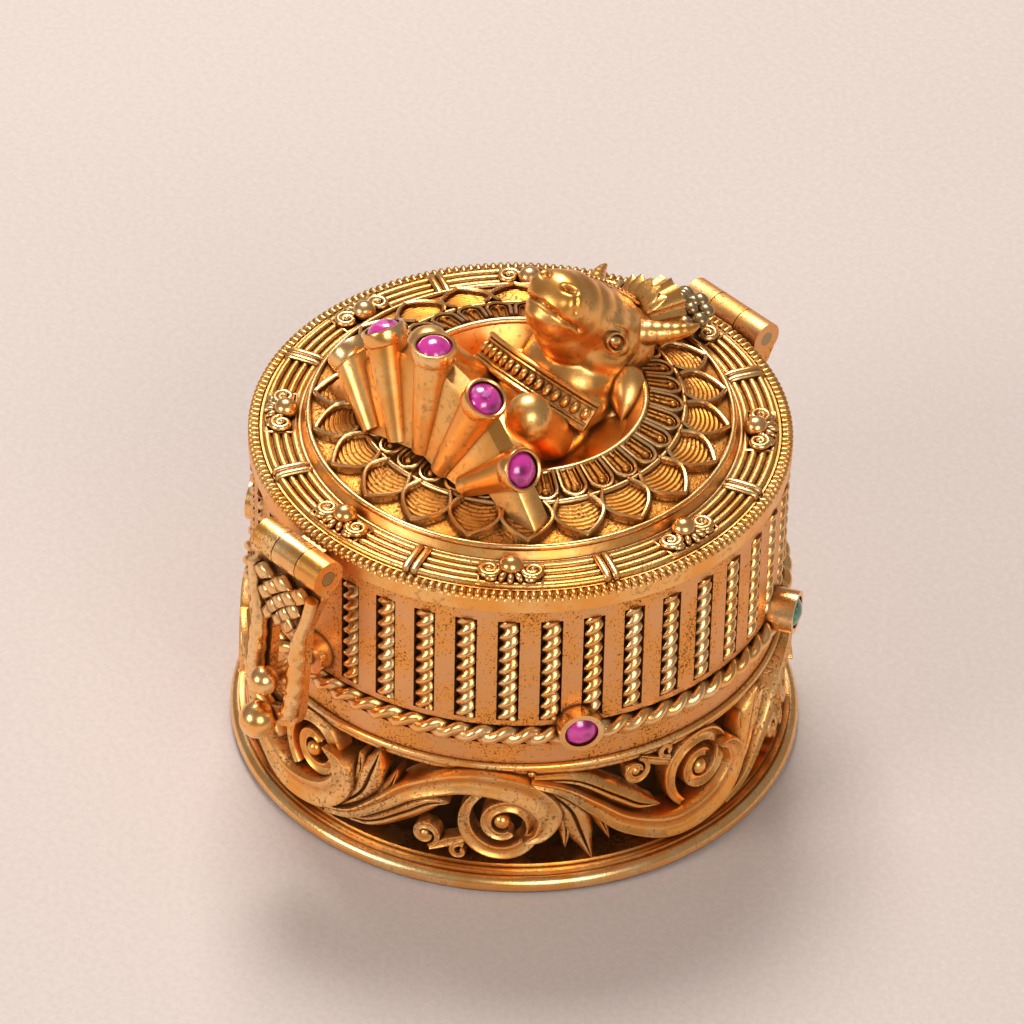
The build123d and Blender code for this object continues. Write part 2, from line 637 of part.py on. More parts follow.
def make_all():
    """Every node by name."""
    nodes = {
        "foot_ring": make_foot_ring(),
        "foot_plate": make_foot_plate(),
        "scroll_gallery": make_scroll_gallery(),
        "drum_wall": make_drum_wall(),
        "drum_floor": make_drum_floor(),
        "rope_columns": make_rope_columns(),
        "rope_band": make_rope_band(),
        "inner_rim": make_inner_rim(),
        "drum_bezels": make_drum_bezels(),
        "drum_rubies": drum_stones(RUBY_ANGLES),
        "drum_emeralds": drum_stones(EMERALD_ANGLES),
        "clasp_post": make_clasp_post(),
        "box_knuckle_left": make_box_knuckle(-1),
        "box_knuckle_right": make_box_knuckle(1),
        "hinge_pin": make_hinge_pin(),
    }
    shell = make_lid_shell()
    ties = make_band_ties()
    clips = make_band_clips()
    well_wire = make_well_rim_wire()
    plate = fan_plate()
    cones = make_fan_cones(shell, well_wire)
    head = make_bull_head(shell)
    neck = make_bull_neck(shell, head)
    necklace = make_bull_necklace(shell, head, neck)
    legs = make_bull_forelegs(shell, head, neck, necklace, cones, plate)
    ears = make_bull_ears(shell, head, neck, necklace, well_wire)
    horns = make_bull_horns(shell, head)
    crest = make_bull_headdress(shell, head, horns, ears, neck)
    figures = (plate, cones, head, ears, crest)
    hasp = make_hasp_plate()
    nodes.update({
        "lid_shell": shell,
        "milled_rim": make_milled_rim(),
        "band_wires": make_band_wires(ties, clips),
        "band_ties": ties,
        "band_clips": clips,
        "lotus_petals": make_lotus_petals(*figures),
        "petal_loops": make_petal_loops(*figures),
        "loop_beads": make_loop_beads(*figures),
        "well_rim_wire": cut(well_wire, plate, cones, head, ears, crest),
        "fan_webs": cut(plate, cones, shell),
        "fan_cones": cones,
        "fan_stones": make_fan_stones(),
        "bull_neck": neck,
        "bull_head": head,
        "bull_forelegs": legs,
        "bull_ears": ears,
        "bull_horns": horns,
        "bull_necklace": necklace,
        "bull_headdress": crest,
        "lid_knuckle": make_lid_knuckle(),
        "clasp_knuckle": make_clasp_knuckle(),
        "clasp_pin": make_clasp_pin(),
        "hasp_plate": hasp,
        "hasp_ball": make_hasp_ball(hasp),
    })
    return nodes


os.makedirs("parts", exist_ok=True)
for node_name, node_shape in make_all().items():
    export_step(node_shape, f"parts/{node_name}.step")
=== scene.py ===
"""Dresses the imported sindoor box: ropes, leaf scrolls, lotus lid, bull, fan and hasp, with gold finishes."""
from math import cos, pi, radians, sin

import bmesh
import bpy
import numpy as np
from bpy.props import FloatProperty, FloatVectorProperty, IntProperty, PointerProperty
from bpy.types import Operator, Panel, PropertyGroup
from mathutils import Matrix, Vector


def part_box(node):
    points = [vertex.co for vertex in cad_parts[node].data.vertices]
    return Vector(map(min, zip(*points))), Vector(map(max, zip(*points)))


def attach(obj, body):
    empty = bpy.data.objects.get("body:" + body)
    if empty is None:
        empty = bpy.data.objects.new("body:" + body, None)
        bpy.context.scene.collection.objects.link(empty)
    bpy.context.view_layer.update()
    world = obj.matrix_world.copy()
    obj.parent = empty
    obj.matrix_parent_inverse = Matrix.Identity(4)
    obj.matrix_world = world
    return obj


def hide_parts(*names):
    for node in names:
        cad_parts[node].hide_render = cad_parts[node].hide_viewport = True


bl_info = {
    "name": "Sindoor Box Dresser",
    "version": (1, 0, 0),
    "blender": (4, 5, 0),
    "location": "View3D > Sidebar > Sindoor Box",
    "description": "Adds the relief, figures and gold finishes to the sindoor box frame",
    "category": "Object",
}

MM = 0.001
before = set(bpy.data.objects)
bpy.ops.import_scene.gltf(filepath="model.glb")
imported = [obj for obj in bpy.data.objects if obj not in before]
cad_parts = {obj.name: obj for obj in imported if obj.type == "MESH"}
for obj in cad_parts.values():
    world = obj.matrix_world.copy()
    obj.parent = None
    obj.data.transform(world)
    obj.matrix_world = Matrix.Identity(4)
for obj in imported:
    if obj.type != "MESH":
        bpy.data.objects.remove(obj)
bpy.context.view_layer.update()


def top_of(node):
    """Highest z of a CAD node, in millimetres."""
    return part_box(node)[1].z / MM


def bottom_of(node):
    """Lowest z of a CAD node, in millimetres."""
    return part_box(node)[0].z / MM


def reach_of(node):
    """Largest x of a CAD node, in millimetres."""
    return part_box(node)[1].x / MM


RIM_Z = bottom_of("band_wires")
LID_R = reach_of("milled_rim")
DRUM_R = reach_of("drum_wall")
DISC_R = 19.7
DISC_EDGE_Z = RIM_Z + 1.1
DISC_SLOPE = 0.28
WELL_R = 11.0
WELL_LAND_R = 11.8
WELL_SIDE = ((0, 33.9), (6.5, 34.1), (9.7, 35.2))
INTO_SKIN = 0.3
FRONT = radians(270)
TURN = 2 * pi
X_AXIS = np.array([1.0, 0, 0])


# Shapes


class Shape:
    """Collects vertices in millimetres and faces for one mesh."""

    def __init__(self):
        self.verts = []
        self.faces = []
        self.count = 0

    def grid(self, points, wrap_rows=False, wrap_cols=False, caps=False):
        """Adds a grid of points (rows, columns, 3) as quads."""
        rows, cols, _ = points.shape
        index = self.count + np.arange(rows * cols).reshape(rows, cols)
        rim = [index[0], index[-1]]
        if wrap_rows:
            index = np.vstack([index, index[:1]])
        if wrap_cols:
            index = np.hstack([index, index[:, :1]])
        quads = np.stack([index[:-1, :-1], index[1:, :-1], index[1:, 1:], index[:-1, 1:]], -1)
        self.verts.append(points.reshape(-1, 3))
        self.faces.extend(quads.reshape(-1, 4).tolist())
        if caps:
            self.faces.append(rim[0].tolist())
            self.faces.append(rim[1][::-1].tolist())
        self.count += rows * cols
        return self

    def mesh(self, name):
        """A Blender mesh in metres, with outward normals."""
        mesh = bpy.data.meshes.new(name)
        verts = np.concatenate(self.verts) * MM
        mesh.from_pydata(verts.tolist(), [], self.faces)
        work = bmesh.new()
        work.from_mesh(mesh)
        bmesh.ops.recalc_face_normals(work, faces=work.faces)
        work.to_mesh(mesh)
        work.free()
        return mesh


def unit(vectors):
    """Vectors scaled to length one."""
    length = np.linalg.norm(vectors, axis=-1, keepdims=True)
    return vectors / np.maximum(length, 1e-9)


def tangents(path, closed=False):
    """Unit tangents along a path of points."""
    if closed:
        return unit(np.roll(path, -1, 0) - np.roll(path, 1, 0))
    return unit(np.gradient(path, axis=0))


def sweep(path, section, up, closed=False):
    """Grid of points: section (n or rows x n, 2) carried along a path, its second axis towards up."""
    path = np.asarray(path, float)
    along = tangents(path, closed)
    up = np.broadcast_to(np.asarray(up, float), path.shape)
    side = unit(np.cross(along, up))
    lift = unit(np.cross(side, along))
    section = np.broadcast_to(section, (len(path),) + np.shape(section)[-2:])
    return (path[:, None] + section[..., :1] * side[:, None] + section[..., 1:] * lift[:, None])


def around(count):
    """Evenly spaced angles of one turn."""
    return np.arange(count) / count * TURN


def circle(sides, radius=1.0):
    """Points of a circle."""
    t = around(sides)
    return radius * np.stack([np.cos(t), np.sin(t)], -1)


def tube(shape, path, radius, up=(0, 0, 1), sides=10, closed=False):
    """Adds a round tube; radius is a number or one per point."""
    radii = np.broadcast_to(radius, (len(path),))
    section = circle(sides)[None] * radii[:, None, None]
    shape.grid(sweep(path, section, up, closed), wrap_rows=closed, wrap_cols=True, caps=not closed)


def strip(shape, path, section, up):
    """Adds a closed section carried along an open path, with closed ends."""
    shape.grid(sweep(path, section, up), wrap_cols=True, caps=True)


def ball(shape, centre, radii, sides=16, turn=None):
    """Adds an ellipsoid."""
    rows = sides // 2 + 1
    tilt = np.linspace(0.02, pi - 0.02, rows)
    spin = around(sides)
    unit_ball = np.stack([np.outer(np.sin(tilt), np.cos(spin)), np.outer(np.sin(tilt), np.sin(spin)),
                          np.outer(np.cos(tilt), np.ones(sides))], -1)
    points = unit_ball * np.broadcast_to(radii, (3,))
    if turn is not None:
        points = points @ np.asarray(turn).T
    shape.grid(points + np.asarray(centre, float), wrap_cols=True, caps=True)


def lathe(shape, origin, axis, profile, sides):
    """Adds a turned form about an axis from (radius, distance) points."""
    side = unit(np.cross(axis, np.array([0.13, 0.97, 0.21])))
    other = np.cross(axis, side)
    rows = [origin + axis * reach + (circle(sides, max(radius, 0.01)) @ np.stack([side, other]))
            for radius, reach in profile]
    shape.grid(np.stack(rows), wrap_cols=True, caps=True)


def polar(radius, angle, z):
    """Point at a radius and angle about the box's axis."""
    return np.stack([radius * np.cos(angle), radius * np.sin(angle), z + 0 * angle + 0 * radius], -1)


def outward(angle):
    """Unit vectors outward and around at an angle about the box's axis."""
    return np.array([cos(angle), sin(angle), 0]), np.array([-sin(angle), cos(angle), 0])


def ring_wire(shape, radius, z, thick, sides=10):
    """Adds a plain wire ring about the box's axis."""
    tube(shape, polar(radius, around(360), z), thick, sides=sides, closed=True)


def rope_section(spin, sides, strand_gap, strand_r):
    """Outline of two round strands side by side, turned by spin."""
    t = around(sides)
    off = (t - spin[..., None] + pi / 2) % pi - pi / 2
    across = strand_gap * np.sin(off)
    reach = strand_gap * np.cos(off) + np.sqrt(np.maximum(strand_r ** 2 - across ** 2, 0.0))
    return np.stack([reach * np.cos(t), reach * np.sin(t)], -1)


def disc_z(radius):
    """Height of the lid's sloping disc."""
    return DISC_EDGE_Z + (DISC_R - radius) * DISC_SLOPE


def add_object(name, data):
    """A new object in the scene."""
    obj = bpy.data.objects.new(name, data)
    bpy.context.scene.collection.objects.link(obj)
    return obj


def paint(obj, finish):
    """Gives an object one finish."""
    obj.data.materials.clear()
    obj.data.materials.append(bpy.data.materials[finish])


def place(name, shape, finish, nodes=(), angle=40, body="lid"):
    """Makes one piece from a Shape or mesh, smooth but for its sharp edges, and rides it on a body."""
    mesh = shape.mesh(name) if isinstance(shape, Shape) else shape
    obj = add_object(name, mesh)
    mesh.polygons.foreach_set("use_smooth", [True] * len(mesh.polygons))
    mesh.set_sharp_from_angle(angle=radians(angle))
    mesh.update()
    paint(obj, finish)
    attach(obj, body)
    if nodes:
        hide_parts(*nodes)


# Finishes


class Socket:
    """A number socket that takes part in Python arithmetic."""

    def __init__(self, tree, link):
        self.tree = tree
        self.link = link

    def math(self, operation, first, second):
        return self.tree.number("ShaderNodeMath", {"operation": operation}, {0: first, 1: second})

    def __add__(self, other):
        return self.math("ADD", self, other)

    __radd__ = __add__

    def __sub__(self, other):
        return self.math("SUBTRACT", self, other)

    def __rsub__(self, other):
        return self.math("SUBTRACT", other, self)

    def __mul__(self, other):
        return self.math("MULTIPLY", self, other)

    __rmul__ = __mul__


class Finish:
    """One procedural material."""

    def __init__(self, name):
        self.material = bpy.data.materials.new(name)
        self.material.use_nodes = True
        self.nodes = self.material.node_tree.nodes
        self.links = self.material.node_tree.links
        self.shader = self.nodes["Principled BSDF"]
        coords = self.node("ShaderNodeTexCoord", {}, {}).outputs["Object"]
        self.place = self.node("ShaderNodeVectorMath", {"operation": "SCALE"},
                               {0: coords, "Scale": 1 / MM}).outputs[0]

    def node(self, kind, settings, values):
        """Adds a node with its settings, then its socket values or links."""
        node = self.nodes.new(kind)
        for key, value in settings.items():
            setattr(node, key, value)
        for key, value in values.items():
            self.feed(node.inputs[key], value)
        return node

    def feed(self, socket, value):
        """Links or sets one input socket."""
        if isinstance(value, Socket):
            self.links.new(value.link, socket)
        elif isinstance(value, bpy.types.NodeSocket):
            self.links.new(value, socket)
        else:
            socket.default_value = value

    def number(self, kind, settings, values, output=0):
        """Adds a node and wraps one number output."""
        return Socket(self, self.node(kind, settings, values).outputs[output])

    def noise(self, scale, detail, roughness):
        """Noise from 0 to 1; scale is per millimetre."""
        values = {"Vector": self.place, "Scale": scale, "Detail": detail, "Roughness": roughness}
        return self.number("ShaderNodeTexNoise", {}, values)

    def cells(self, scale):
        """Distance to the nearest cell point; scale is per millimetre."""
        return self.number("ShaderNodeTexVoronoi", {}, {"Vector": self.place, "Scale": scale})

    def step(self, value, low, high):
        """Soft step from 0 at low to 1 at high."""
        values = {"Value": value, "From Min": low, "From Max": high}
        return self.number("ShaderNodeMapRange", {"interpolation_type": "SMOOTHSTEP"}, values)

    def shelter(self, distance):
        """1 in the open and near 0 in a recess narrower than distance, in millimetres."""
        return self.number("ShaderNodeAmbientOcclusion", {"samples": 6}, {"Distance": distance * MM}, 1)

    def blend(self, first, second, amount):
        """Colour between first and second."""
        node = self.node("ShaderNodeMix", {"data_type": "RGBA"}, {0: amount, 6: first, 7: second})
        return node.outputs[2]

    def bump(self, height, strength, distance):
        """Normal from a height; distance in millimetres."""
        values = {"Height": height, "Strength": strength, "Distance": distance * MM}
        return self.node("ShaderNodeBump", {}, values).outputs[0]

    def dress(self, **values):
        """Feeds the shader's sockets by name."""
        for key, value in values.items():
            self.feed(self.shader.inputs[key.replace("_", " ")], value)


def gold(name, base, shine, tarnish_and_shade, rough, patina_and_shade, pits, pit_scale, bump=0.35):
    """Worn gold: bright high spots, stippled pits, and dark recesses that are part real tarnish and part
    painted shade.
    """
    finish = Finish(name)
    cloud = finish.noise(0.22, 4.0, 0.6)
    grain = finish.noise(pit_scale, 3.0, 0.6)
    fine = finish.noise(pit_scale * 3.2, 2.0, 0.5)
    # Ambient occlusion marks the shut-in hollows; darkening them is part real tarnish and part painted shade.
    hidden = 1 - finish.shelter(WIDE_RECESS) * 0.55 - finish.shelter(TIGHT_RECESS) * 0.45
    recess = finish.step(hidden, 0.1, 0.52)
    specks = finish.step(grain + cloud * 0.45 + hidden * 0.35, 0.8, 0.92) * pits
    dark = finish.number("ShaderNodeMath", {"operation": "MAXIMUM"}, {0: recess * patina_and_shade, 1: specks})
    warm = finish.blend(base, shine, finish.step(cloud + fine * 0.2, 0.45, 0.75))
    # The dark colour goes on the hollows as painted shade with real tarnish, and on the real stippled pits.
    colour = finish.blend(warm, tarnish_and_shade, dark)
    height = grain * 0.55 + fine * 0.3 - specks * 0.8
    finish.dress(Base_Color=colour, Metallic=1.0, Roughness=rough + cloud * 0.14 - 0.07 + dark * 0.3,
                 Normal=finish.bump(height, bump, 0.06))


def stone(name, base, deep, pale):
    """Foil-backed cut stone."""
    finish = Finish(name)
    facets = finish.cells(0.75)
    cloud = finish.noise(0.9, 3.0, 0.6)
    colour = finish.blend(finish.blend(deep, base, finish.step(facets, 0.1, 0.55)), pale,
                          finish.step(cloud, 0.55, 0.72) * 0.6)
    finish.dress(Base_Color=colour, Roughness=0.1 + cloud * 0.16, Normal=finish.bump(facets, 0.35, 0.25))
    finish.shader.inputs["Coat Weight"].default_value = 0.8
    finish.shader.inputs["Coat Roughness"].default_value = 0.05
    finish.shader.inputs["IOR"].default_value = 1.7


def cloth_floor(name, base, weave):
    """Plain pale floor with a faint weave."""
    finish = Finish(name)
    thread = finish.noise(1.6, 4.0, 0.7)
    cloud = finish.noise(0.008, 2.0, 0.5)
    colour = finish.blend(base, weave, finish.step(thread + cloud * 0.4, 0.5, 0.95))
    finish.dress(Base_Color=colour, Roughness=0.9, Normal=finish.bump(thread, 0.25, 0.15))


GOLD_BASE = (0.95, 0.415, 0.09, 1)
GOLD_PALE = (1.0, 0.56, 0.19, 1)
GOLD_ROSE = (0.86, 0.44, 0.18, 1)
# Colour of the darkened recesses: real tarnish and painted shade.
TARNISH_AND_SHADE = (0.19, 0.062, 0.014, 1)
WIDE_RECESS = 1.3
TIGHT_RECESS = 0.45


def colour(name, description, default):
    """A colour setting."""
    return FloatVectorProperty(name=name, description=description, default=default, subtype="COLOR", size=4,
                               min=0, max=1)


class FinishColours(PropertyGroup):
    """Colours of the finishes."""

    base: colour("Gold", "Main gold", GOLD_BASE)
    pale: colour("Worn gold", "Gold on worn high spots", GOLD_PALE)
    rose: colour("Matte gold", "Stippled flats of the drum", GOLD_ROSE)
    # Colour of the darkened recesses, which is real tarnish and painted shade.
    tarnish_and_shade: colour("Tarnish_and_shade", "Dark tarnish in the recesses", TARNISH_AND_SHADE)
    ruby: colour("Ruby", "Pink-red stones", (0.62, 0.025, 0.30, 1))
    emerald: colour("Emerald", "Green stones", (0.01, 0.2, 0.08, 1))
    floor: colour("Floor", "Floor", (0.60, 0.505, 0.455, 1))


class BoxSizes(PropertyGroup):
    """Counts and turns of the ornament."""

    column_turns: FloatProperty(name="Column turns", description="Turns of each twisted column", default=4.3,
                                min=1)
    rope_turns: IntProperty(name="Band turns", description="Turns of the rope band", default=36, min=4)
    rim_teeth: IntProperty(name="Rim teeth", description="Teeth of the milled rim", default=216, min=8)
    petals: IntProperty(name="Petals", description="Lotus petals", default=22, min=3)
    loops: IntProperty(name="Loops", description="Loops around the well", default=32, min=3)
    scrolls: IntProperty(name="Scrolls", description="Scrolls around the foot", default=8, min=2)
    necklace_beads: IntProperty(name="Necklace beads", description="Beads on the collar", default=15, min=2)


class SINDOOR_OT_finishes(Operator):
    """Make the gold and stone finishes and put them on the CAD nodes that stay"""

    bl_idname = "sindoor.finishes"
    bl_label = "Finishes"

    def execute(self, context):
        tint = context.scene.sindoor_colours
        base, pale, rose, tarnish_and_shade = tint.base, tint.pale, tint.rose, tint.tarnish_and_shade
        # The five numbers are roughness, recess darkening (real tarnish and painted shade), pits, pits per
        # millimetre and bump
        gold("satin_gold", base, (1.0, 0.6, 0.24, 1), tarnish_and_shade, 0.32, 0.9, 0.75, 3.2, 0.45)
        gold("bright_gold", (1.0, 0.48, 0.14, 1), (1.0, 0.64, 0.29, 1), tarnish_and_shade, 0.26, 1.0, 0.3, 2.2, 0.25)
        gold("stippled_gold", rose, base, tarnish_and_shade, 0.46, 0.95, 0.9, 5.0, 0.6)
        gold("smooth_gold", base, pale, tarnish_and_shade, 0.33, 0.75, 0.35, 1.6, 0.25)
        gold("ground_gold", (0.66, 0.24, 0.035, 1), base, tarnish_and_shade, 0.4, 1.5, 0.9, 3.6, 0.5)
        gold("relief_gold", base, pale, tarnish_and_shade, 0.3, 1.0, 0.75, 3.6, 0.35)
        gold("dark_gold", (0.34, 0.2, 0.08, 1), base, tarnish_and_shade, 0.5, 0.9, 0.8, 2.4, 0.5)
        stone("ruby_stone", tint.ruby, (0.22, 0.0, 0.09, 1), (0.86, 0.25, 0.62, 1))
        stone("emerald_stone", tint.emerald, (0.0, 0.05, 0.02, 1), (0.12, 0.5, 0.28, 1))
        kept = {
            "bright_gold": "foot_ring drum_bezels clasp_post clasp_knuckle hasp_ball",
            "dark_gold": "foot_plate drum_floor hinge_pin clasp_pin",
            "stippled_gold": "drum_wall box_knuckle_left box_knuckle_right lid_knuckle",
            "smooth_gold": "inner_rim lid_shell",
            "ruby_stone": "drum_rubies fan_stones",
            "emerald_stone": "drum_emeralds",
            "relief_gold": "band_wires",
            "satin_gold": "hasp_plate",
        }
        for finish, nodes in kept.items():
            for node in nodes.split():
                paint(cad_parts[node], finish)
        return {"FINISHED"}


SLOT_STEP = 9
CLEAR_OF_HINGE = 14


class SINDOOR_OT_drum_ropes(Operator):
    """Twist the columns in the drum's slots and the rope band below them"""

    bl_idname = "sindoor.drum_ropes"
    bl_label = "Drum ropes"

    def execute(self, context):
        sizes = context.scene.sindoor_sizes
        low, high = bottom_of("rope_columns"), top_of("rope_columns")
        ring_r = DRUM_R - 0.52
        z = np.linspace(low, high, 80)
        section = rope_section((low - z) / (high - low) * sizes.column_turns * TURN, 20, 0.36, 0.52)
        section = section * np.array([1.18, 0.98])
        columns = Shape()
        for angle in range(0, 360, SLOT_STEP):
            if angle == 270 or abs(angle - 90) < CLEAR_OF_HINGE:
                continue
            out = radians(angle)
            path = np.stack([0 * z + ring_r * cos(out), 0 * z + ring_r * sin(out), z], -1)
            strip(columns, path, section, (cos(out), sin(out), 0))
        turns = around(240)
        inner, outer = DRUM_R - 1.7, DRUM_R - 0.95
        corners = ((inner, low), (outer, low), (outer, high), (inner, high))
        rows = np.stack([polar(radius, turns, height) for radius, height in corners])
        backing = Shape().grid(rows, wrap_rows=True, wrap_cols=True)
        place("slot_backing", backing, "dark_gold", body="box")
        place("rope_columns_twisted", columns, "bright_gold", ["rope_columns"], body="box")

        steps = sizes.rope_turns * 20
        t = around(steps)
        middle = (bottom_of("rope_band") + top_of("rope_band")) / 2
        rope = rope_section(t * sizes.rope_turns, 20, 0.42, 0.64)
        rows = sweep(polar(DRUM_R - 0.02, t, middle), rope, polar(1.0, t, 0.0), True)
        band = Shape().grid(rows, wrap_rows=True, wrap_cols=True)
        place("rope_band_twisted", band, "bright_gold", ["rope_band"], body="box")
        return {"FINISHED"}


class Gallery:
    """Ribbon scrolls on the flaring wall between drum and foot; u runs around and z up, in millimetres."""

    low = 2.6
    high = 13.8
    middle = 8.2
    unroll_r = 25.0
    top_r = 25.0
    flare = 0.6
    strap = (np.array([-0.5, -0.5, -0.44, -0.34, -0.16, 0.0, 0.16, 0.34, 0.44, 0.5, 0.5]),
             np.array([-1.0, -0.16, -0.02, 0.0, -0.12, -0.17, -0.12, 0.0, -0.02, -0.16, -1.0]))
    leaf = (np.array([-0.5, -0.5, -0.36, -0.2, -0.07, 0.0, 0.07, 0.2, 0.36, 0.5, 0.5]),
            np.array([-1.0, -0.45, -0.2, -0.04, -0.06, -0.26, -0.06, -0.04, -0.2, -0.45, -1.0]))

    def __init__(self):
        self.shape = Shape()
        self.centre = 0.0
        self.side = 1

    def wrap(self, u, z, depth):
        """Point at a unit's own u, z and a depth below the outer face."""
        z = self.middle + self.side * (z - self.middle)
        fall = (self.high - z) / (self.high - self.low)
        radius = self.top_r + self.flare * np.maximum(fall, 0) ** 1.5 + depth
        return polar(radius, (u + self.centre) / self.unroll_r, z)

    def ribbon(self, path, widths, thick, rise, outline=None):
        """Adds a strap along a path of (u, z) points; the widths are spread evenly over it."""
        across, depth = outline or self.strap
        widths = np.interp(np.linspace(0, 1, len(path)), np.linspace(0, 1, len(widths)), widths)
        along = tangents(path)
        side = np.stack([-along[:, 1], along[:, 0]], -1)
        flat = path[:, None] + side[:, None] * (across * widths[:, None])[..., None]
        shrink = np.clip(widths / 1.4, 0.3, 1.0)[:, None]
        rows = depth * thick * shrink + rise
        rows[:, 0] = rows[:, -1] = -thick
        points = self.wrap(flat[..., 0], flat[..., 1], rows)
        self.shape.grid(points, wrap_cols=True, caps=True)

    def spiral(self, centre, radii, start, turns, widths, thick, rise=0.0):
        """Adds a curl that winds in to its centre; start in degrees."""
        t = np.linspace(0, 1, int(34 * turns) + 12)
        angle = radians(start) + t * turns * TURN
        radius = radii[0] + (radii[1] - radii[0]) * t ** 0.85
        path = np.stack([centre[0] + radius * np.cos(angle), centre[1] + radius * np.sin(angle)], -1)
        self.ribbon(path, widths, thick, rise)

    def curve(self, points, widths, thick, rise=0.0, outline=None):
        """Adds a ribbon through a few points, smoothed."""
        self.ribbon(catmull(points, np.linspace(0, 1, 12 * len(points))), widths, thick, rise, outline)

    def bead(self, u, z, radius):
        """Adds a bead on the wall."""
        ball(self.shape, self.wrap(np.array(u), np.array(z), -0.35), radius, 14)


def catmull(points, t):
    """Smooth curve through evenly spaced points, at places t from 0 to 1."""
    points = np.asarray(points, float)
    last = len(points) - 1
    padded = np.concatenate([[2 * points[0] - points[1]], points, [2 * points[-1] - points[-2]]])
    at = np.clip(t * last, 0, last - 1e-6)
    k = at.astype(int)
    f = (at - k)[:, None]
    a, b, c, d = padded[k], padded[k + 1], padded[k + 2], padded[k + 3]
    square, cube = 2 * a - 5 * b + 4 * c - d, 3 * b - a - 3 * c + d
    return 0.5 * (2 * b + (c - a) * f + square * f ** 2 + cube * f ** 3)


class SINDOOR_OT_scroll_gallery(Operator):
    """Model the leaf scrolls between the drum and the foot ring"""

    bl_idname = "sindoor.scroll_gallery"
    bl_label = "Leaf scrolls"

    def execute(self, context):
        scrolls = context.scene.sindoor_sizes.scrolls
        gallery = Gallery()
        for k in range(scrolls):
            gallery.centre = k * TURN * gallery.unroll_r / scrolls
            gallery.side = 1 if k % 2 else -1
            self.vine(gallery)
            self.leaves(gallery)
        place("leaf_scroll_gallery", gallery.shape, "satin_gold", ["scroll_gallery"], body="box")
        rails = Shape()
        ring_wire(rails, gallery.top_r - 0.35, gallery.high - 0.12, 0.42)
        ring_wire(rails, gallery.top_r - 0.55, gallery.high - 0.85, 0.3)
        place("gallery_top_rail", rails, "satin_gold", body="box")
        return {"FINISHED"}

    def vine(self, gallery):
        """The broad stem that hooks over, and the curl that winds in under it."""
        stem = [(-17.4, 3.9), (-14.4, 5.0), (-11.5, 7.4), (-8.4, 10.1), (-3.6, 12.1), (1.4, 11.4), (3.9, 8.9),
                (3.3, 6.6), (1.7, 5.7)]
        gallery.curve(stem, [0.7, 1.0, 1.5, 2.0, 2.5, 2.9, 2.6, 1.5, 0.2], 2.2, 0.85)
        gallery.spiral((0.0, 7.1), (4.15, 1.05), 125, 1.5, [0.8, 1.5, 1.5, 1.4, 1.2, 1.0, 0.8], 1.7, 0.05)
        gallery.bead(-0.25, 7.5, 0.8)
        gallery.spiral((-7.3, 4.9), (1.35, 0.45), -70, 1.2, [0.35, 0.8, 0.7, 0.45], 1.3)
        gallery.bead(-7.35, 4.9, 0.5)
        gallery.curve([(-6.9, 3.5), (-5.3, 4.4), (-3.7, 5.2)], [0.6, 0.9, 0.7], 1.4)
        gallery.spiral((-4.1, 3.7), (0.85, 0.3), 60, 1.0, [0.6, 0.55, 0.4], 1.3)

    def leaves(self, gallery):
        """Pointed leaves that fan out after each curl, and the long leaf beside the next stem."""
        leaves = (
            ([(3.9, 11.2), (5.9, 8.9), (6.9, 6.2), (7.9, 3.1)], [0.8, 2.3, 3.0, 2.2, 0.1], 1.7, 0.45),
            ([(4.3, 11.6), (7.2, 9.9), (8.7, 7.4), (9.6, 4.8)], [0.7, 1.6, 1.9, 1.3, 0.1], 1.5, 0.2),
            ([(4.3, 10.2), (5.3, 8.2), (5.6, 6.3), (5.5, 4.5)], [0.6, 1.4, 1.6, 1.1, 0.1], 1.4, 0.1),
            ([(2.6, 12.6), (6.6, 12.0), (10.3, 9.5), (12.6, 7.8), (14.6, 7.1)], [0.7, 1.6, 2.1, 1.9, 0.1],
             1.6, 0.3))
        for points, widths, thick, rise in leaves:
            gallery.curve(points, widths, thick, rise, gallery.leaf)
        gallery.bead(2.4, 12.9, 0.45)


class SINDOOR_OT_lid_rim(Operator):
    """Cut the teeth of the milled rim"""

    bl_idname = "sindoor.lid_rim"
    bl_label = "Milled rim"

    def execute(self, context):
        teeth = context.scene.sindoor_sizes.rim_teeth
        low, high = bottom_of("milled_rim"), top_of("milled_rim")
        steps = teeth * 6
        t = around(steps)
        groove = (0.5 - 0.5 * np.cos(t * teeth)) ** 2
        profile = [(LID_R - 1.1, low, 0, 0), (LID_R - 1.1, high - 0.35, 0, 0),
                   (LID_R - 0.95, high - 0.08, 0, 0.2), (LID_R - 0.55, high, 0, 0.28),
                   (LID_R - 0.2, high - 0.06, 0.1, 0.28),
                   (LID_R, high - 0.28, 0.22, 0.14), (LID_R, high - 0.45, 0.2, 0), (LID_R, low, 0, 0)]
        rows = [polar(r - inset * groove, t, z - sink * groove) for r, z, inset, sink in profile]
        rim = Shape().grid(np.stack(rows), wrap_rows=True, wrap_cols=True)
        place("milled_rim_teeth", rim, "relief_gold", ["milled_rim"])
        return {"FINISHED"}


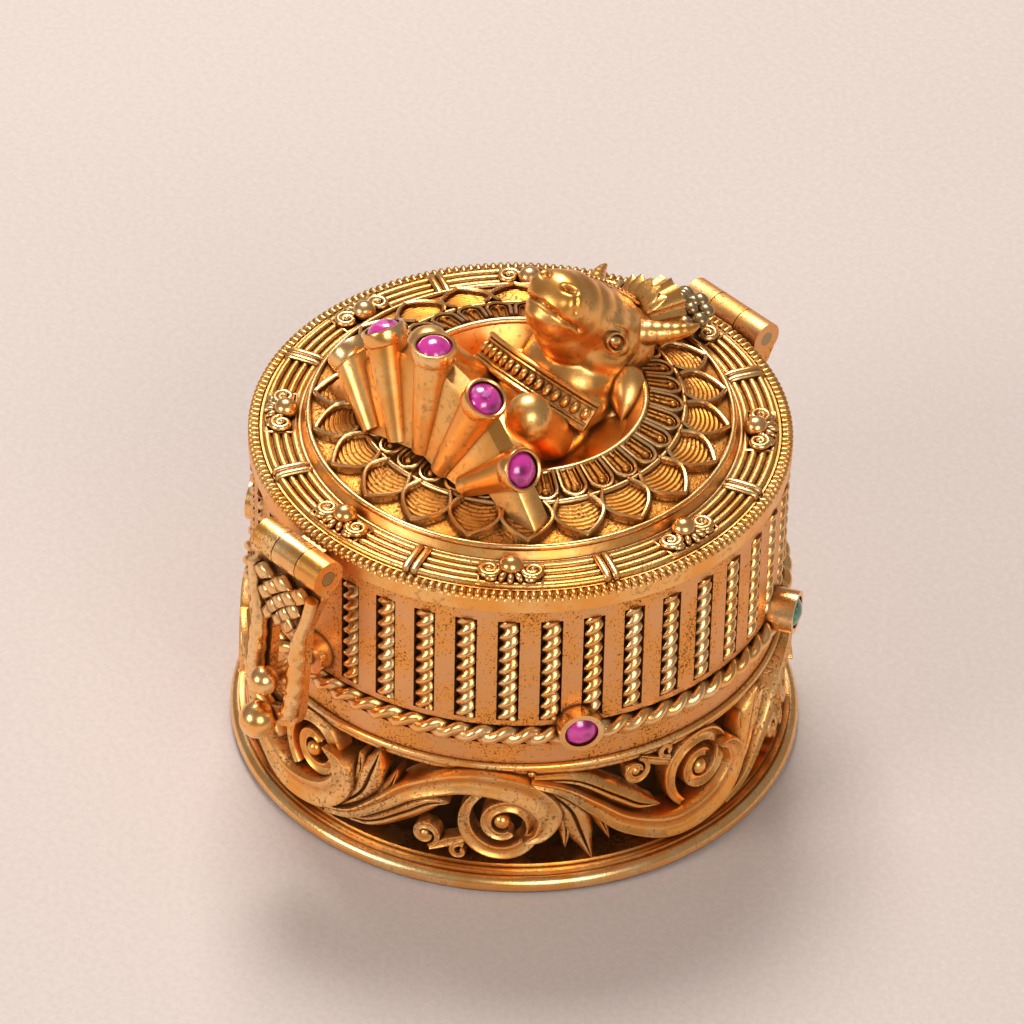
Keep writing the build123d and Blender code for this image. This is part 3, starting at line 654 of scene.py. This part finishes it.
class SINDOOR_OT_lid_band(Operator):
    """Model the straps and flower clips over the lid's wires"""

    bl_idname = "sindoor.lid_band"
    bl_label = "Lid band"

    def execute(self, context):
        ties = Shape()
        clips = Shape()
        for k in range(8):
            self.tie(ties, radians(45 * k + 22.5))
            self.clip(clips, radians(45 * k))
        place("band_straps", ties, "bright_gold", ["band_ties"])
        place("flower_clips", clips, "bright_gold", ["band_clips"])
        return {"FINISHED"}

    def tie(self, shape, angle):
        """Two half-round straps side by side."""
        out, across = outward(angle)
        radius = np.array([20.4, 20.5, 20.9, 21.6, 22.4, 23.1, 23.55, 23.65])
        z = RIM_Z + np.array([0.0, 0.38, 0.5, 0.52, 0.52, 0.5, 0.38, 0.0])
        section = circle(10) * np.array([0.36, 0.26])
        for offset in (-0.4, 0.4):
            path = radius[:, None] * out + across * offset
            path[:, 2] = z
            strip(shape, path, section, (0, 0, 1))

    def clip(self, shape, angle):
        """A boss with leaves on the outer side and a curl on each hand, in a low frame."""
        out, across = outward(angle)
        up = np.array([0, 0, 1.0])
        basis = np.stack([out, across, up], 1)
        centre = 21.95 * out + (RIM_Z + 0.5) * up

        def spot(x, y, z):
            """Point x outward, y across and z up from the clip's centre."""
            return centre + basis @ np.array([x, y, z])

        ball(shape, spot(-0.4, 0, 0.4), (1.1, 1.1, 0.95), 20)
        for tilt, reach in ((-62, 1.25), (-30, 1.3), (0, 1.35), (30, 1.3), (62, 1.25)):
            a = radians(tilt)
            lean = np.array([[cos(a), -sin(a), 0], [sin(a), cos(a), 0], [0, 0, 1]])
            at = spot(-0.35 + reach * cos(a), reach * sin(a), 0.1)
            ball(shape, at, (0.72, 0.34, 0.4), 14, basis @ lean)
        for hand in (-1, 1):
            t = np.linspace(0, 1, 34)
            curl = 0.98 - 0.7 * t
            a = radians(-95) * hand + hand * t * 1.5 * TURN
            path = np.array([spot(-0.1 + c * cos(b), hand * 1.95 + c * sin(b), 0.12)
                             for c, b in zip(curl, a)])
            tube(shape, path, 0.36 - 0.1 * t, sides=10)
            ball(shape, spot(-0.1, hand * 1.95, 0.2), 0.34, 12)
            ball(shape, spot(0.95, hand * 1.75, 0.02), (0.42, 0.6, 0.34), 12, basis)
            corners = ((-1.3, 0), (-1.3, 2.85), (1.35, 2.85), (1.45, 1.4))
            tube(shape, np.array([spot(x, hand * y, -0.25) for x, y in corners]), 0.2, sides=8)


LOOP_IN, LOOP_ROOT_R, LOOP_BEND_R, LOOP_OUT = 11.75, 11.85, 13.65, 14.95
LOOP_HALF, LOOP_ROOT_HALF, LOOP_TAPER = 1.1, 0.97, 0.07
PETAL_IN, PETAL_ROOT_R, PETAL_WIDE_R, PETAL_OUT = 14.9, 15.0, 16.6, 19.55
PETAL_TAPER_LONG = 2.45


class SINDOOR_OT_lotus(Operator):
    """Model the lotus petals, the loops around the well and their wires"""

    bl_idname = "sindoor.lotus"
    bl_label = "Lotus lid"

    def execute(self, context):
        sizes = context.scene.sindoor_sizes
        self.relief("lotus_petal_relief", sizes.petals, PETAL_IN, PETAL_OUT, 72, 84, self.petal_height,
                    ["lotus_petals"])
        self.relief("well_loop_relief", sizes.loops, LOOP_IN, LOOP_OUT, 48, 60, self.loop_height,
                    ["petal_loops", "loop_beads"])
        wires = Shape()
        ring_wire(wires, 14.98, disc_z(14.98) + 0.25, 0.3)
        ring_wire(wires, 19.5, disc_z(19.5) + 0.22, 0.3)
        ring_wire(wires, 20.25, RIM_Z + 0.12, 0.3)
        ring_wire(wires, (WELL_R + WELL_LAND_R) / 2, disc_z(WELL_LAND_R) + 0.08, 0.38, 12)
        self.outlines(wires, sizes.petals, *self.petal_line(sizes.petals), 0.62, 0.2)
        self.outlines(wires, sizes.loops, *self.loop_line(), 0.48, 0.17)
        place("lotus_wires", wires, "bright_gold", ["well_rim_wire"])
        return {"FINISHED"}

    def relief(self, name, count, r_in, r_out, per_unit, rows, height, nodes):
        """One closed ring of relief on the lid's slope."""
        radius = np.linspace(r_in, r_out, rows)[:, None]
        angle = around(count * per_unit)[None]
        local = (angle - FRONT + pi / count) % (TURN / count) - pi / count
        lift = height(radius, local * radius, count)
        surface = disc_z(radius)
        top = polar(radius, angle, surface + 0.04 + lift)
        foot_in = polar(radius[:1], angle, surface[:1] - 0.05 + 0 * angle)
        foot_out = polar(radius[-1:], angle, surface[-1:] - 0.05 + 0 * angle)
        ring = Shape().grid(np.concatenate([foot_in, top, foot_out]), wrap_rows=True, wrap_cols=True)
        place(name, ring, "ground_gold", nodes, 60)

    def outlines(self, wires, count, radius, side, lift, thick):
        """One wire along the same line for every petal or tongue."""
        for middle in FRONT + around(count):
            tube(wires, polar(radius, middle + side / radius, disc_z(radius) + lift), thick, sides=7)

    def petal_width(self, radius, count):
        """Half a petal's width at a radius."""
        half = pi * 16.8 / count - 0.05
        opening = 0.62 + 0.38 * np.sin(np.clip((radius - PETAL_ROOT_R) / 1.8, 0, 1) * pi / 2)
        closing = 1 - np.clip((radius - PETAL_WIDE_R) / PETAL_TAPER_LONG, 0, 2) ** 1.9
        return half * np.minimum(opening, closing)

    def petal_line(self, count):
        """Radius and sideways place along a petal's outline."""
        radius = 15.1 + 3.93 * np.sin(np.linspace(0, pi / 2, 22))
        width = np.maximum(self.petal_width(radius, count), 0)
        return np.concatenate([radius, radius[-2::-1]]), np.concatenate([width, -width[-2::-1]])

    def loop_line(self):
        """Radius and sideways place along a tongue's outline."""
        t = np.linspace(-pi / 2, pi / 2, 17)
        radius = np.concatenate([[LOOP_ROOT_R], LOOP_BEND_R + LOOP_HALF * np.cos(t), [LOOP_ROOT_R]])
        return radius, np.concatenate([[-LOOP_ROOT_HALF], LOOP_HALF * np.sin(t), [LOOP_ROOT_HALF]])

    def petal_height(self, radius, side, count):
        """Pointed petals with wire outlines and cross ribs."""
        width = self.petal_width(radius, count)
        slope = np.gradient(width[:, 0], radius[:, 0])[:, None]
        gap = (np.abs(side) - width) / np.sqrt(1 + slope ** 2)
        ribs = 0.5 + 0.5 * np.cos(TURN * (radius + 0.12 * side ** 2) / 0.42)
        floor = (0.1 + 0.09 * ribs) * np.clip((-gap - 0.1) / 0.12, 0, 1)
        ground = 0.05 * np.random.default_rng(4).random(gap.shape) * (gap > 0.1)
        return np.maximum(wire(gap, 0.19, 0.7), floor + ground)

    def loop_height(self, radius, side, count):
        """Tongues with double outlines and a ball-headed pin."""
        arc = np.hypot(np.maximum(radius - LOOP_BEND_R, 0), side)
        gap = arc - LOOP_HALF + LOOP_TAPER * np.maximum(LOOP_BEND_R - radius, 0)
        ball_top = np.sqrt(np.maximum(0, 1 - ((radius - 13.9) ** 2 + side ** 2) / 0.38 ** 2)) * 0.62
        pin = wire(side, 0.15, 0.4) * (radius < 13.9)
        floor = 0.08 * (gap < 0)
        return np.maximum.reduce([wire(gap, 0.18, 0.55), wire(gap + 0.37, 0.12, 0.36), ball_top, pin, floor])


def wire(offset, half, tall):
    """Round wire's height at an offset from its middle."""
    return tall * np.sqrt(np.maximum(0, 1 - (offset / half) ** 2))


def remeshed(name, blobs, voxel, smoothing):
    """One skin around overlapping ellipsoids, as vertices in millimetres and faces."""
    source = Shape()
    for centre, radii, turn in blobs:
        ball(source, centre, radii, 24, turn)
    mesh = source.mesh(name)
    mesh.transform(Matrix.Scale(1 / MM, 4))
    obj = add_object(name, mesh)
    skin = obj.modifiers.new("skin", "REMESH")
    skin.mode = "VOXEL"
    skin.voxel_size = voxel
    soften = obj.modifiers.new("soften", "SMOOTH")
    soften.factor = 0.6
    soften.iterations = smoothing
    result = bpy.data.meshes.new_from_object(obj.evaluated_get(bpy.context.evaluated_depsgraph_get()))
    bpy.data.objects.remove(obj)
    bpy.data.meshes.remove(mesh)
    return result


def place_skin(name, mesh, nodes):
    """Places a skin in millimetres, lifted off the lid's underside into the thickness of the lid's skin."""
    spots = arrays(mesh)[0]
    radius = np.hypot(spots[:, 0], spots[:, 1])
    land = disc_z(WELL_LAND_R)
    radii, heights = np.array(WELL_SIDE + ((WELL_R, land), (WELL_LAND_R, land))).T
    face = np.where(radius < WELL_LAND_R, np.interp(radius, radii, heights), disc_z(radius))
    spots[:, 2] = np.maximum(spots[:, 2], face - INTO_SKIN)
    mesh.vertices.foreach_set("co", spots.ravel())
    mesh.update()
    mesh.transform(Matrix.Scale(MM, 4))
    place(name, mesh, "smooth_gold", nodes, 60)


def arrays(mesh):
    """Vertex places and normals of a mesh."""
    spots = np.empty(len(mesh.vertices) * 3)
    mesh.vertices.foreach_get("co", spots)
    normals = np.empty(len(mesh.vertices) * 3)
    mesh.vertex_normals.foreach_get("vector", normals)
    return spots.reshape(-1, 3), normals.reshape(-1, 3)


def carve(mesh, path, depth, width):
    """Pushes a groove into a mesh along a path; a negative depth raises a ridge."""
    spots, normals = arrays(mesh)
    path = np.asarray(path, float)
    t = np.linspace(0, len(path) - 1, 12 * len(path))
    dense = np.stack([np.interp(t, np.arange(len(path)), path[:, k]) for k in range(3)], -1)
    reach = 3 * width
    close = np.all((spots > dense.min(0) - reach) & (spots < dense.max(0) + reach), axis=1)
    near = np.min(np.linalg.norm(spots[close][:, None] - dense[None], axis=2), axis=1)
    spots[close] -= normals[close] * (depth * np.exp(-(near / width) ** 2))[:, None]
    mesh.vertices.foreach_set("co", spots.ravel())
    mesh.update()


class Head:
    """The bull's head frame: x to its left, l from poll to muzzle, f towards its forehead."""

    centre = np.array([0, 10.9, RIM_Z + 4.1])
    along = unit(np.array([0, -6.7, 7.7]))
    face = unit(np.array([0, 7.7, 6.7]))
    turn = np.stack([X_AXIS, along, face], 1)

    @classmethod
    def at(cls, spots):
        """Box-frame place of one or more head points."""
        return cls.centre + np.asarray(spots, float) @ cls.turn.T


def collar_point(x):
    """The collar's line at a sideways place."""
    return np.stack([x, 0.3 + 0.032 * x ** 2, RIM_Z + 5.6 - 0.03 * x ** 2], -1)


# Ellipsoids: three numbers for the place, three for the radii
HEAD_BLOBS = (
    (0, 0, 0, 4.5, 4.2, 4.3), (0, 2.4, 0.2, 4.4, 4.6, 4.2), (0, 4.6, 0.4, 4.1, 4.6, 3.9),
    (0, 6.6, 0.5, 3.8, 4.4, 3.6), (0, 8.6, 0.5, 3.5, 3.6, 3.3), (0, 10.2, 0.3, 3.3, 2.6, 3.0),
    (0, 10.9, 0.9, 2.9, 1.8, 2.1), (0, 9.6, -1.7, 2.5, 2.8, 1.6), (0, 5.0, -2.0, 3.1, 5.6, 2.4),
    (0, -1.0, 2.7, 2.8, 2.6, 1.6))
CHEEK_BLOBS = (
    (2.4, 2.4, -1.6, 2.1, 3.8, 2.6), (3.3, 4.8, 1.5, 0.9, 1.8, 0.8), (1.8, 11.1, 0.7, 1.3, 1.3, 1.5))
NECK_BLOBS = (
    (0, 8.6, 4.0, 4.2, 3.9, 3.8), (0, 6.2, 3.2, 4.7, 4.4, 3.4), (0, 4.4, 1.6, 5.6, 5.0, 2.6),
    (0, 0.4, 0.3, 6.4, 6.0, 2.2), (0, 8.4, 0.6, 6.6, 4.4, 1.8), (0, 1.2, 2.6, 3.8, 3.0, 2.6))


class SINDOOR_OT_bull(Operator):
    """Model the bull's head, neck, forelegs, ears, horns and collar"""

    bl_idname = "sindoor.bull"
    bl_label = "Bull"

    def execute(self, context):
        self.head_and_neck()
        self.forelegs()
        self.ears()
        self.horns()
        self.collar(context.scene.sindoor_sizes.necklace_beads)
        return {"FINISHED"}

    def head_and_neck(self):
        """One skin over head and neck, with its creases, eyes and brow ornament."""
        cheeks = [(side * x, *rest) for side in (-1, 1) for x, *rest in CHEEK_BLOBS]
        blobs = [(Head.at(blob[:3]), blob[3:], Head.turn) for blob in (*HEAD_BLOBS, *cheeks)]
        blobs += [((x, y, RIM_Z + z), radii, None) for x, y, z, *radii in NECK_BLOBS]
        mesh = remeshed("bull_head_and_neck", blobs, 0.17, 16)
        creases = [([(0, 12.8, -0.8), (1.6, 12.2, -0.9), (2.7, 10.9, -1.0), (3.1, 9.3, -0.9)], 0.5, 0.26),
                   ([(1.3, 12.5, 1.6), (2.1, 12.0, 1.9)], 0.7, 0.32),
                   ([(2.9, 11.3, 0.3), (2.7, 11.9, 1.4)], 0.25, 0.22)]
        t = np.linspace(0, TURN, 16)
        eye_ring = np.stack([0 * t, 1.2 * np.cos(t), 0.68 * np.sin(t)], -1)
        for radius, depth, width in ((1.05, 0.3, 0.2), (1.5, -0.16, 0.22), (1.95, 0.22, 0.18)):
            creases.append(((4.1, 4.9, 0.2) + radius * eye_ring, depth, width))
        for fold in range(3):
            behind_eye = [(3.7, 1.7 - 0.6 * fold, 1.9), (4.3, 1.4 - 0.6 * fold, -0.2),
                          (3.6, 1.6 - 0.5 * fold, -2.4)]
            creases.append((behind_eye, 0.06, 0.2))
        for side in (-1, 1):
            for path, depth, width in creases:
                carve(mesh, Head.at(path * np.array([side, 1, 1])), depth, width)
        place_skin("bull_head_and_neck", mesh, ["bull_head", "bull_neck"])
        eyes = Shape()
        for x in (-1, 1):
            ball(eyes, Head.at((3.75 * x, 4.9, 0.2)), (0.72, 0.9, 0.72), 18, Head.turn)
            lid = Head.at([(4.15 * x, 4.9 + 1.4 * cos(a), 0.2 + 0.82 * sin(a)) for a in around(28)])
            tube(eyes, lid, 0.13, up=Head.turn[:, 0], sides=8, closed=True)
        place("bull_eyes", eyes, "bright_gold")
        ridge = Shape()
        t = np.linspace(-2.0, 9.0, 30)
        top = np.interp(t, [-2, 0, 3, 6, 9], [4.3, 4.4, 4.25, 4.0, 3.4])
        for offset in (-0.55, 0.55):
            tube(ridge, Head.at(np.stack([0 * t + offset, t, top], -1)), 0.24, up=Head.face, sides=8)
        for l, f in zip(t[1::2], top[1::2]):
            ball(ridge, Head.at((0, l, f + 0.08)), 0.38, 10)
        place("forehead_ornament", ridge, "relief_gold")

    def forelegs(self):
        """Folded forelegs that lean out of the well."""
        blobs = []
        for x in (-1, 1):
            knee = np.array([6.7 * x, -5.4, RIM_Z + 7.5])
            foot = np.array([4.9 * x, -1.2, RIM_Z + 2.2])
            blobs.append((knee, (2.25, 2.25, 2.4), None))
            for t in np.linspace(0.1, 1, 9):
                size = 1.95 + 0.35 * t
                blobs.append((knee + (foot - knee) * t, (size, size, size), None))
        mesh = remeshed("bull_forelegs_smooth", blobs, 0.18, 6)
        place_skin("bull_forelegs_smooth", mesh, ["bull_forelegs"])

    def ears(self):
        """Hollow leaf-shaped ears."""
        ears = Shape()
        t = np.linspace(0, 1, 18)
        for x in (-1, 1):
            path = np.stack([x * (4.3 + 3.0 * t - 0.6 * t ** 2), 8.9 - 2.6 * t, RIM_Z + 4.6 - 3.4 * t], -1)
            width = 1.7 * np.sin(pi * (0.12 + 0.88 * t) ** 0.8) + 0.12
            a = around(16)
            leaf = np.stack([np.cos(a), 0.38 * np.sin(a) - 0.35 * np.cos(a) ** 2 * (np.sin(a) > 0)], -1)
            strip(ears, path, leaf * width[:, None, None], (0.6 * x, -1, 0.3))
        place("bull_ears_leaf", ears, "smooth_gold", ["bull_ears"], 60)

    def horns(self):
        """Ringed horns that curve outward."""
        horns = Shape()
        t = np.linspace(0, 1, 40)
        for x in (-1, 1):
            path = np.stack([x * (3.0 + 3.2 * np.sin(1.5 * t)), 12.0 + 4.4 * t, RIM_Z + 6.3 + 0.5 * t], -1)
            rings = 1 + 0.03 * np.cos(TURN * 7 * t)
            tube(horns, path, (1.15 * (1 - t) ** 0.7 + 0.14) * rings, up=(x, 0, 0.2), sides=16)
        place("bull_horns_curved", horns, "satin_gold", ["bull_horns"])

    def collar(self, beads):
        """Beaded band across the chest."""
        x = np.linspace(-7.2, 7.2, 60)
        line = collar_point(x)
        normal = unit(np.array([0, -0.62, 0.78]))
        down = unit(np.cross(X_AXIS, normal))
        basis = np.stack([X_AXIS, down, normal], 1)
        band = Shape()
        strap = np.array([[-1.3, -3.0], [1.3, -3.0], [1.3, 0.05], [-1.3, 0.05]])
        strip(band, line, strap, normal)
        for offset, thick in ((-1.3, 0.26), (1.3, 0.3), (0.85, 0.14), (-0.85, 0.14)):
            tube(band, line + down * offset + normal * 0.05, thick, up=normal, sides=8)
        for k in range(beads):
            spot = x[0] + (k + 0.5) * (x[-1] - x[0]) / beads
            ball(band, collar_point(spot) + normal * 0.15, (0.4, 0.62, 0.42), 14, basis)
        place("beaded_collar", band, "relief_gold", ["bull_necklace"])


class SINDOOR_OT_headdress(Operator):
    """Model the leaves, ribbed cone and flower behind the bull's head"""

    bl_idname = "sindoor.headdress"
    bl_label = "Headdress"

    def execute(self, context):
        crest = Shape()
        for k, lean in enumerate((-50, -25, 0, 25, 50)):
            a = radians(lean)
            root = np.array([0, 14.0, RIM_Z + 6.6])
            tip = root + np.array([3.0 * sin(a), 1.6 + 0.6 * cos(a), 2.2 * cos(a)])
            t = np.linspace(0, 1, 14)
            path = root + (tip - root) * t[:, None]
            width = 1.15 * np.sin(pi * (0.15 + 0.85 * t)) + 0.08
            leaf = circle(10) * np.array([1.0, 0.3])
            strip(crest, path, leaf * width[:, None, None], (0, -0.5, 1))
        spin = around(36)
        length = np.linspace(0, 1, 10)
        ribs = 1 + 0.09 * np.cos(spin * 12)
        axis = np.stack([0 * length, 14.2 + 4.2 * length, RIM_Z + 5.6 - 0.6 * length], -1)
        outline = np.stack([ribs * np.cos(spin), ribs * np.sin(spin)], -1)
        size = 1.5 + 0.9 * length
        strip(crest, axis, outline * size[:, None, None], (0, 0, 1))
        place("headdress_leaves", crest, "relief_gold", ["bull_headdress"])
        self.flower()
        return {"FINISHED"}

    def flower(self):
        """Rough openwork flower and its column towards the hinge."""
        flower = Shape()
        centre = np.array([0, 20.2, RIM_Z + 3.4])
        for ring, count, size in ((2.5, 9, 0.95), (1.3, 6, 0.8)):
            for k in range(count):
                a = k / count * TURN
                spot = centre + np.array([ring * cos(a), ring * 0.85 * sin(a), 0.5 * (2.6 - ring)])
                ball(flower, spot, (size, size * 0.8, size * 0.7), 12)
        ball(flower, centre + np.array([0, 0, 0.9]), (0.9, 0.9, 0.8), 14)
        height = np.linspace(RIM_Z - 0.05, centre[2], 12)
        path = np.stack([0 * height, 0 * height + 20.6, height], -1)
        tube(flower, path, 1.5 + 0.25 * np.cos(np.linspace(0, TURN * 2, 12)), up=(0, 1, 0), sides=18)
        place("headdress_flower", flower, "dark_gold")


class SINDOOR_OT_fan(Operator):
    """Model the fan's leaning cones with their cups, and the webs between them"""

    bl_idname = "sindoor.fan"
    bl_label = "Fan"

    def execute(self, context):
        centre = np.array([0, -10.9, RIM_Z + 1.2])
        lean = np.radians([28, 59, 90, 121, 152])
        rays = np.stack([np.cos(lean), 0 * lean, np.sin(lean)], -1)
        feet = np.array([(6.2, -12.9, 3.3), (3.5, -13.1, 3.7), (0.6, -12.7, 4.0), (-2.2, -13.1, 3.7),
                         (-5.2, -13.4, 3.2)]) + (0, 0, RIM_Z)
        cones, cups = Shape(), Shape()
        for ray, foot in zip(rays, feet):
            neck = centre + ray * 12.35
            t = np.linspace(0, 1, 12)
            tube(cones, foot + (neck - foot) * t[:, None], 1.0 + 0.86 * t, up=(0, 1, 0), sides=32)
            profile = [(0.0, 12.0), (1.8, 12.0), (1.98, 12.15), (2.05, 12.35), (2.05, 13.4), (1.98, 13.55),
                       (1.84, 13.6), (1.68, 13.52), (1.62, 13.35), (1.62, 12.9), (0.0, 12.9)]
            lathe(cups, centre, ray, profile, 40)
        place("fan_leaning_cones", cones, "smooth_gold", ["fan_cones"])
        place("fan_cups", cups, "bright_gold")

        webs = Shape()
        necks = [centre + ray * 11.5 for ray in rays]
        panels = [(feet[k], necks[k], necks[k + 1], feet[k + 1]) for k in range(4)]
        for hand, foot, neck in ((1, feet[0], necks[0]), (-1, feet[4], necks[4])):
            outer = np.array([hand * 14.6, -10.9, RIM_Z + 1.1])
            inner = np.array([hand * 12.2, -11.5, RIM_Z + 1.3])
            panels.append((foot + (neck - foot) * 0.4, neck + (neck - foot) * 0.05, outer, inner))
        front, back = np.array([0, -0.35, 0]), np.array([0, 1.7, 0])
        for low_a, high_a, high_b, low_b in panels:
            rows = []
            for s in (0.0, 0.5, 0.93, 1.0):
                start, stop = low_a + (high_a - low_a) * s, low_b + (high_b - low_b) * s
                trim = 0.12 if s == 1.0 else 0.0
                line = start + (stop - start) * np.linspace(0, 1, 5)[:, None]
                rows.append(np.concatenate([line + front * (1 - trim * 4), line[::-1] + back * (1 - trim)]))
            webs.grid(np.array(rows), wrap_cols=True, caps=True)
        place("fan_web_panels", webs, "smooth_gold", ["fan_webs"])
        return {"FINISHED"}


class SINDOOR_OT_hasp_trim(Operator):
    """Quilt the hasp and set the grains around its slot"""

    bl_idname = "sindoor.hasp_trim"
    bl_label = "Hasp trim"

    def execute(self, context):
        tilt = radians(5.4)
        axis = np.array([0, -27.3, 33.0])

        def at(x, out, z):
            """Box-frame point of a hasp point."""
            y = -out * cos(tilt) + z * sin(tilt)
            return axis + np.array([x, y, z * cos(tilt) + out * sin(tilt)])

        quilt = Shape()
        basis = np.stack([X_AXIS, at(0, 1, 0) - axis, at(0, 0, 1) - axis], 1)
        for row in range(5):
            z = -2.35 - 0.95 * row
            half = 3.75 - 0.42 * row
            for k in range(3 - row % 2):
                x = (k - (2 - row % 2) / 2) * 2 * half / 3
                self.lozenge(quilt, at(x, 1.68, z), basis, 2.1 * half / 3, 1.9)
        t = np.linspace(0, 1, 90)
        for side in (-1, 1):
            knots = ((3.95, -2.0), (3.45, -4.6), (2.7, -7.2), (2.6, -10.0), (2.6, -13.0), (2.1, -15.4),
                     (0.0, -16.6))
            arm = np.array([at(side * x, 1.45, z) for x, z in catmull(knots, t)])
            notch = 1 + 0.05 * np.cos(TURN * 11 * t) * (t > 0.3) * (t < 0.85)
            tube(quilt, arm, (0.6 + 0.25 * np.clip((t - 0.25) * 5, 0, 1)) * notch, up=basis[:, 1], sides=12)
        place("hasp_quilting", quilt, "bright_gold", body="hasp")
        return {"FINISHED"}

    def lozenge(self, shape, centre, basis, wide, tall):
        """Low four-sided pyramid."""
        ring = np.array([[-wide, 0], [0, -tall], [wide, 0], [0, tall]]) * 0.5
        rows = []
        for size, lift in ((0.98, -0.4), (0.98, 0.02), (0.8, 0.24), (0.2, 0.42)):
            rows.append([centre + basis @ np.array([size * x, lift, size * z]) for x, z in ring])
        shape.grid(np.array(rows), wrap_cols=True, caps=True)


class SINDOOR_OT_stage(Operator):
    """Lay the floor, set the lights and place the camera"""

    bl_idname = "sindoor.stage"
    bl_label = "Stage"

    def execute(self, context):
        tint = context.scene.sindoor_colours
        cloth_floor("pale_floor", tint.floor, (0.66, 0.565, 0.515, 1))
        span = 2.0
        corners = [(-span, -span, 0), (span, -span, 0), (span, span, 0), (-span, span, 0)]
        mesh = bpy.data.meshes.new("floor")
        mesh.from_pydata(corners, [], [(0, 1, 2, 3)])
        floor = add_object("floor", mesh)
        paint(floor, "pale_floor")
        self.light("key_light", (-0.28, 0.18, 0.55), 0.24, 3.5, (1.0, 0.985, 0.97))
        self.light("fill_light", (0.5, -0.25, 0.38), 0.3, 1.7, (1.0, 0.98, 0.97))
        self.light("front_light", (-0.12, -0.55, 0.3), 0.22, 1.3, (1.0, 0.98, 0.97))
        world = bpy.data.worlds.new("studio")
        world.use_nodes = True
        background = world.node_tree.nodes["Background"]
        background.inputs["Color"].default_value = (1.0, 0.96, 0.93, 1)
        background.inputs["Strength"].default_value = 0.25
        context.scene.world = world
        context.scene.view_settings.view_transform = "Standard"
        self.camera()
        return {"FINISHED"}

    def light(self, name, spot, size, power, colour):
        """A square soft light that looks at the box."""
        lamp = bpy.data.lights.new(name, "AREA")
        lamp.size = size
        lamp.energy = power
        lamp.color = colour
        obj = add_object(name, lamp)
        obj.location = spot
        aim = Vector((0, 0, 0.02)) - Vector(spot)
        obj.rotation_euler = aim.to_track_quat("-Z", "Y").to_euler()

    def camera(self):
        """The photograph's view."""
        azimuth, elevation, roll = radians(46.51), radians(38.78), radians(1.29)
        distance, lens, sensor = 0.6301, 234.0, 36.0
        target = Vector((-0.00814, 0.00687, 0.015))
        data = bpy.data.cameras.new("camera")
        data.lens = lens
        data.sensor_width = sensor
        data.clip_start = 0.01
        matrix = Matrix.Rotation(azimuth, 4, "Z") @ Matrix.Rotation(pi / 2 - elevation, 4, "X")
        matrix = matrix @ Matrix.Rotation(roll, 4, "Z")
        matrix.translation = target + matrix.col[2].xyz * distance
        obj = add_object("camera", data)
        obj.matrix_world = matrix
        bpy.context.scene.camera = obj


OPERATORS = (SINDOOR_OT_stage, SINDOOR_OT_finishes, SINDOOR_OT_drum_ropes, SINDOOR_OT_scroll_gallery,
             SINDOOR_OT_lid_rim, SINDOOR_OT_lid_band, SINDOOR_OT_lotus, SINDOOR_OT_bull, SINDOOR_OT_headdress,
             SINDOOR_OT_fan, SINDOOR_OT_hasp_trim)


class SINDOOR_PT_panel(Panel):
    """Lists the box's pieces"""

    bl_idname = "SINDOOR_PT_panel"
    bl_label = "Sindoor Box"
    bl_space_type = "VIEW_3D"
    bl_region_type = "UI"
    bl_category = "Sindoor Box"

    def draw(self, context):
        for group in (context.scene.sindoor_sizes, context.scene.sindoor_colours):
            for key in group.__annotations__:
                self.layout.prop(group, key)
        for operator in OPERATORS:
            self.layout.operator(operator.bl_idname)


CLASSES = (FinishColours, BoxSizes, *OPERATORS, SINDOOR_PT_panel)


def register():
    """Registers the classes and puts their settings on the scene."""
    for item in CLASSES:
        bpy.utils.register_class(item)
    bpy.types.Scene.sindoor_sizes = PointerProperty(type=BoxSizes)
    bpy.types.Scene.sindoor_colours = PointerProperty(type=FinishColours)


def unregister():
    """Takes the settings and classes away again."""
    del bpy.types.Scene.sindoor_sizes
    del bpy.types.Scene.sindoor_colours
    for item in reversed(CLASSES):
        bpy.utils.unregister_class(item)


def main():
    """Builds everything."""
    register()
    for operator in OPERATORS:
        group, name = operator.bl_idname.split(".")
        getattr(getattr(bpy.ops, group), name)()


if __name__ == "__main__":
    main()
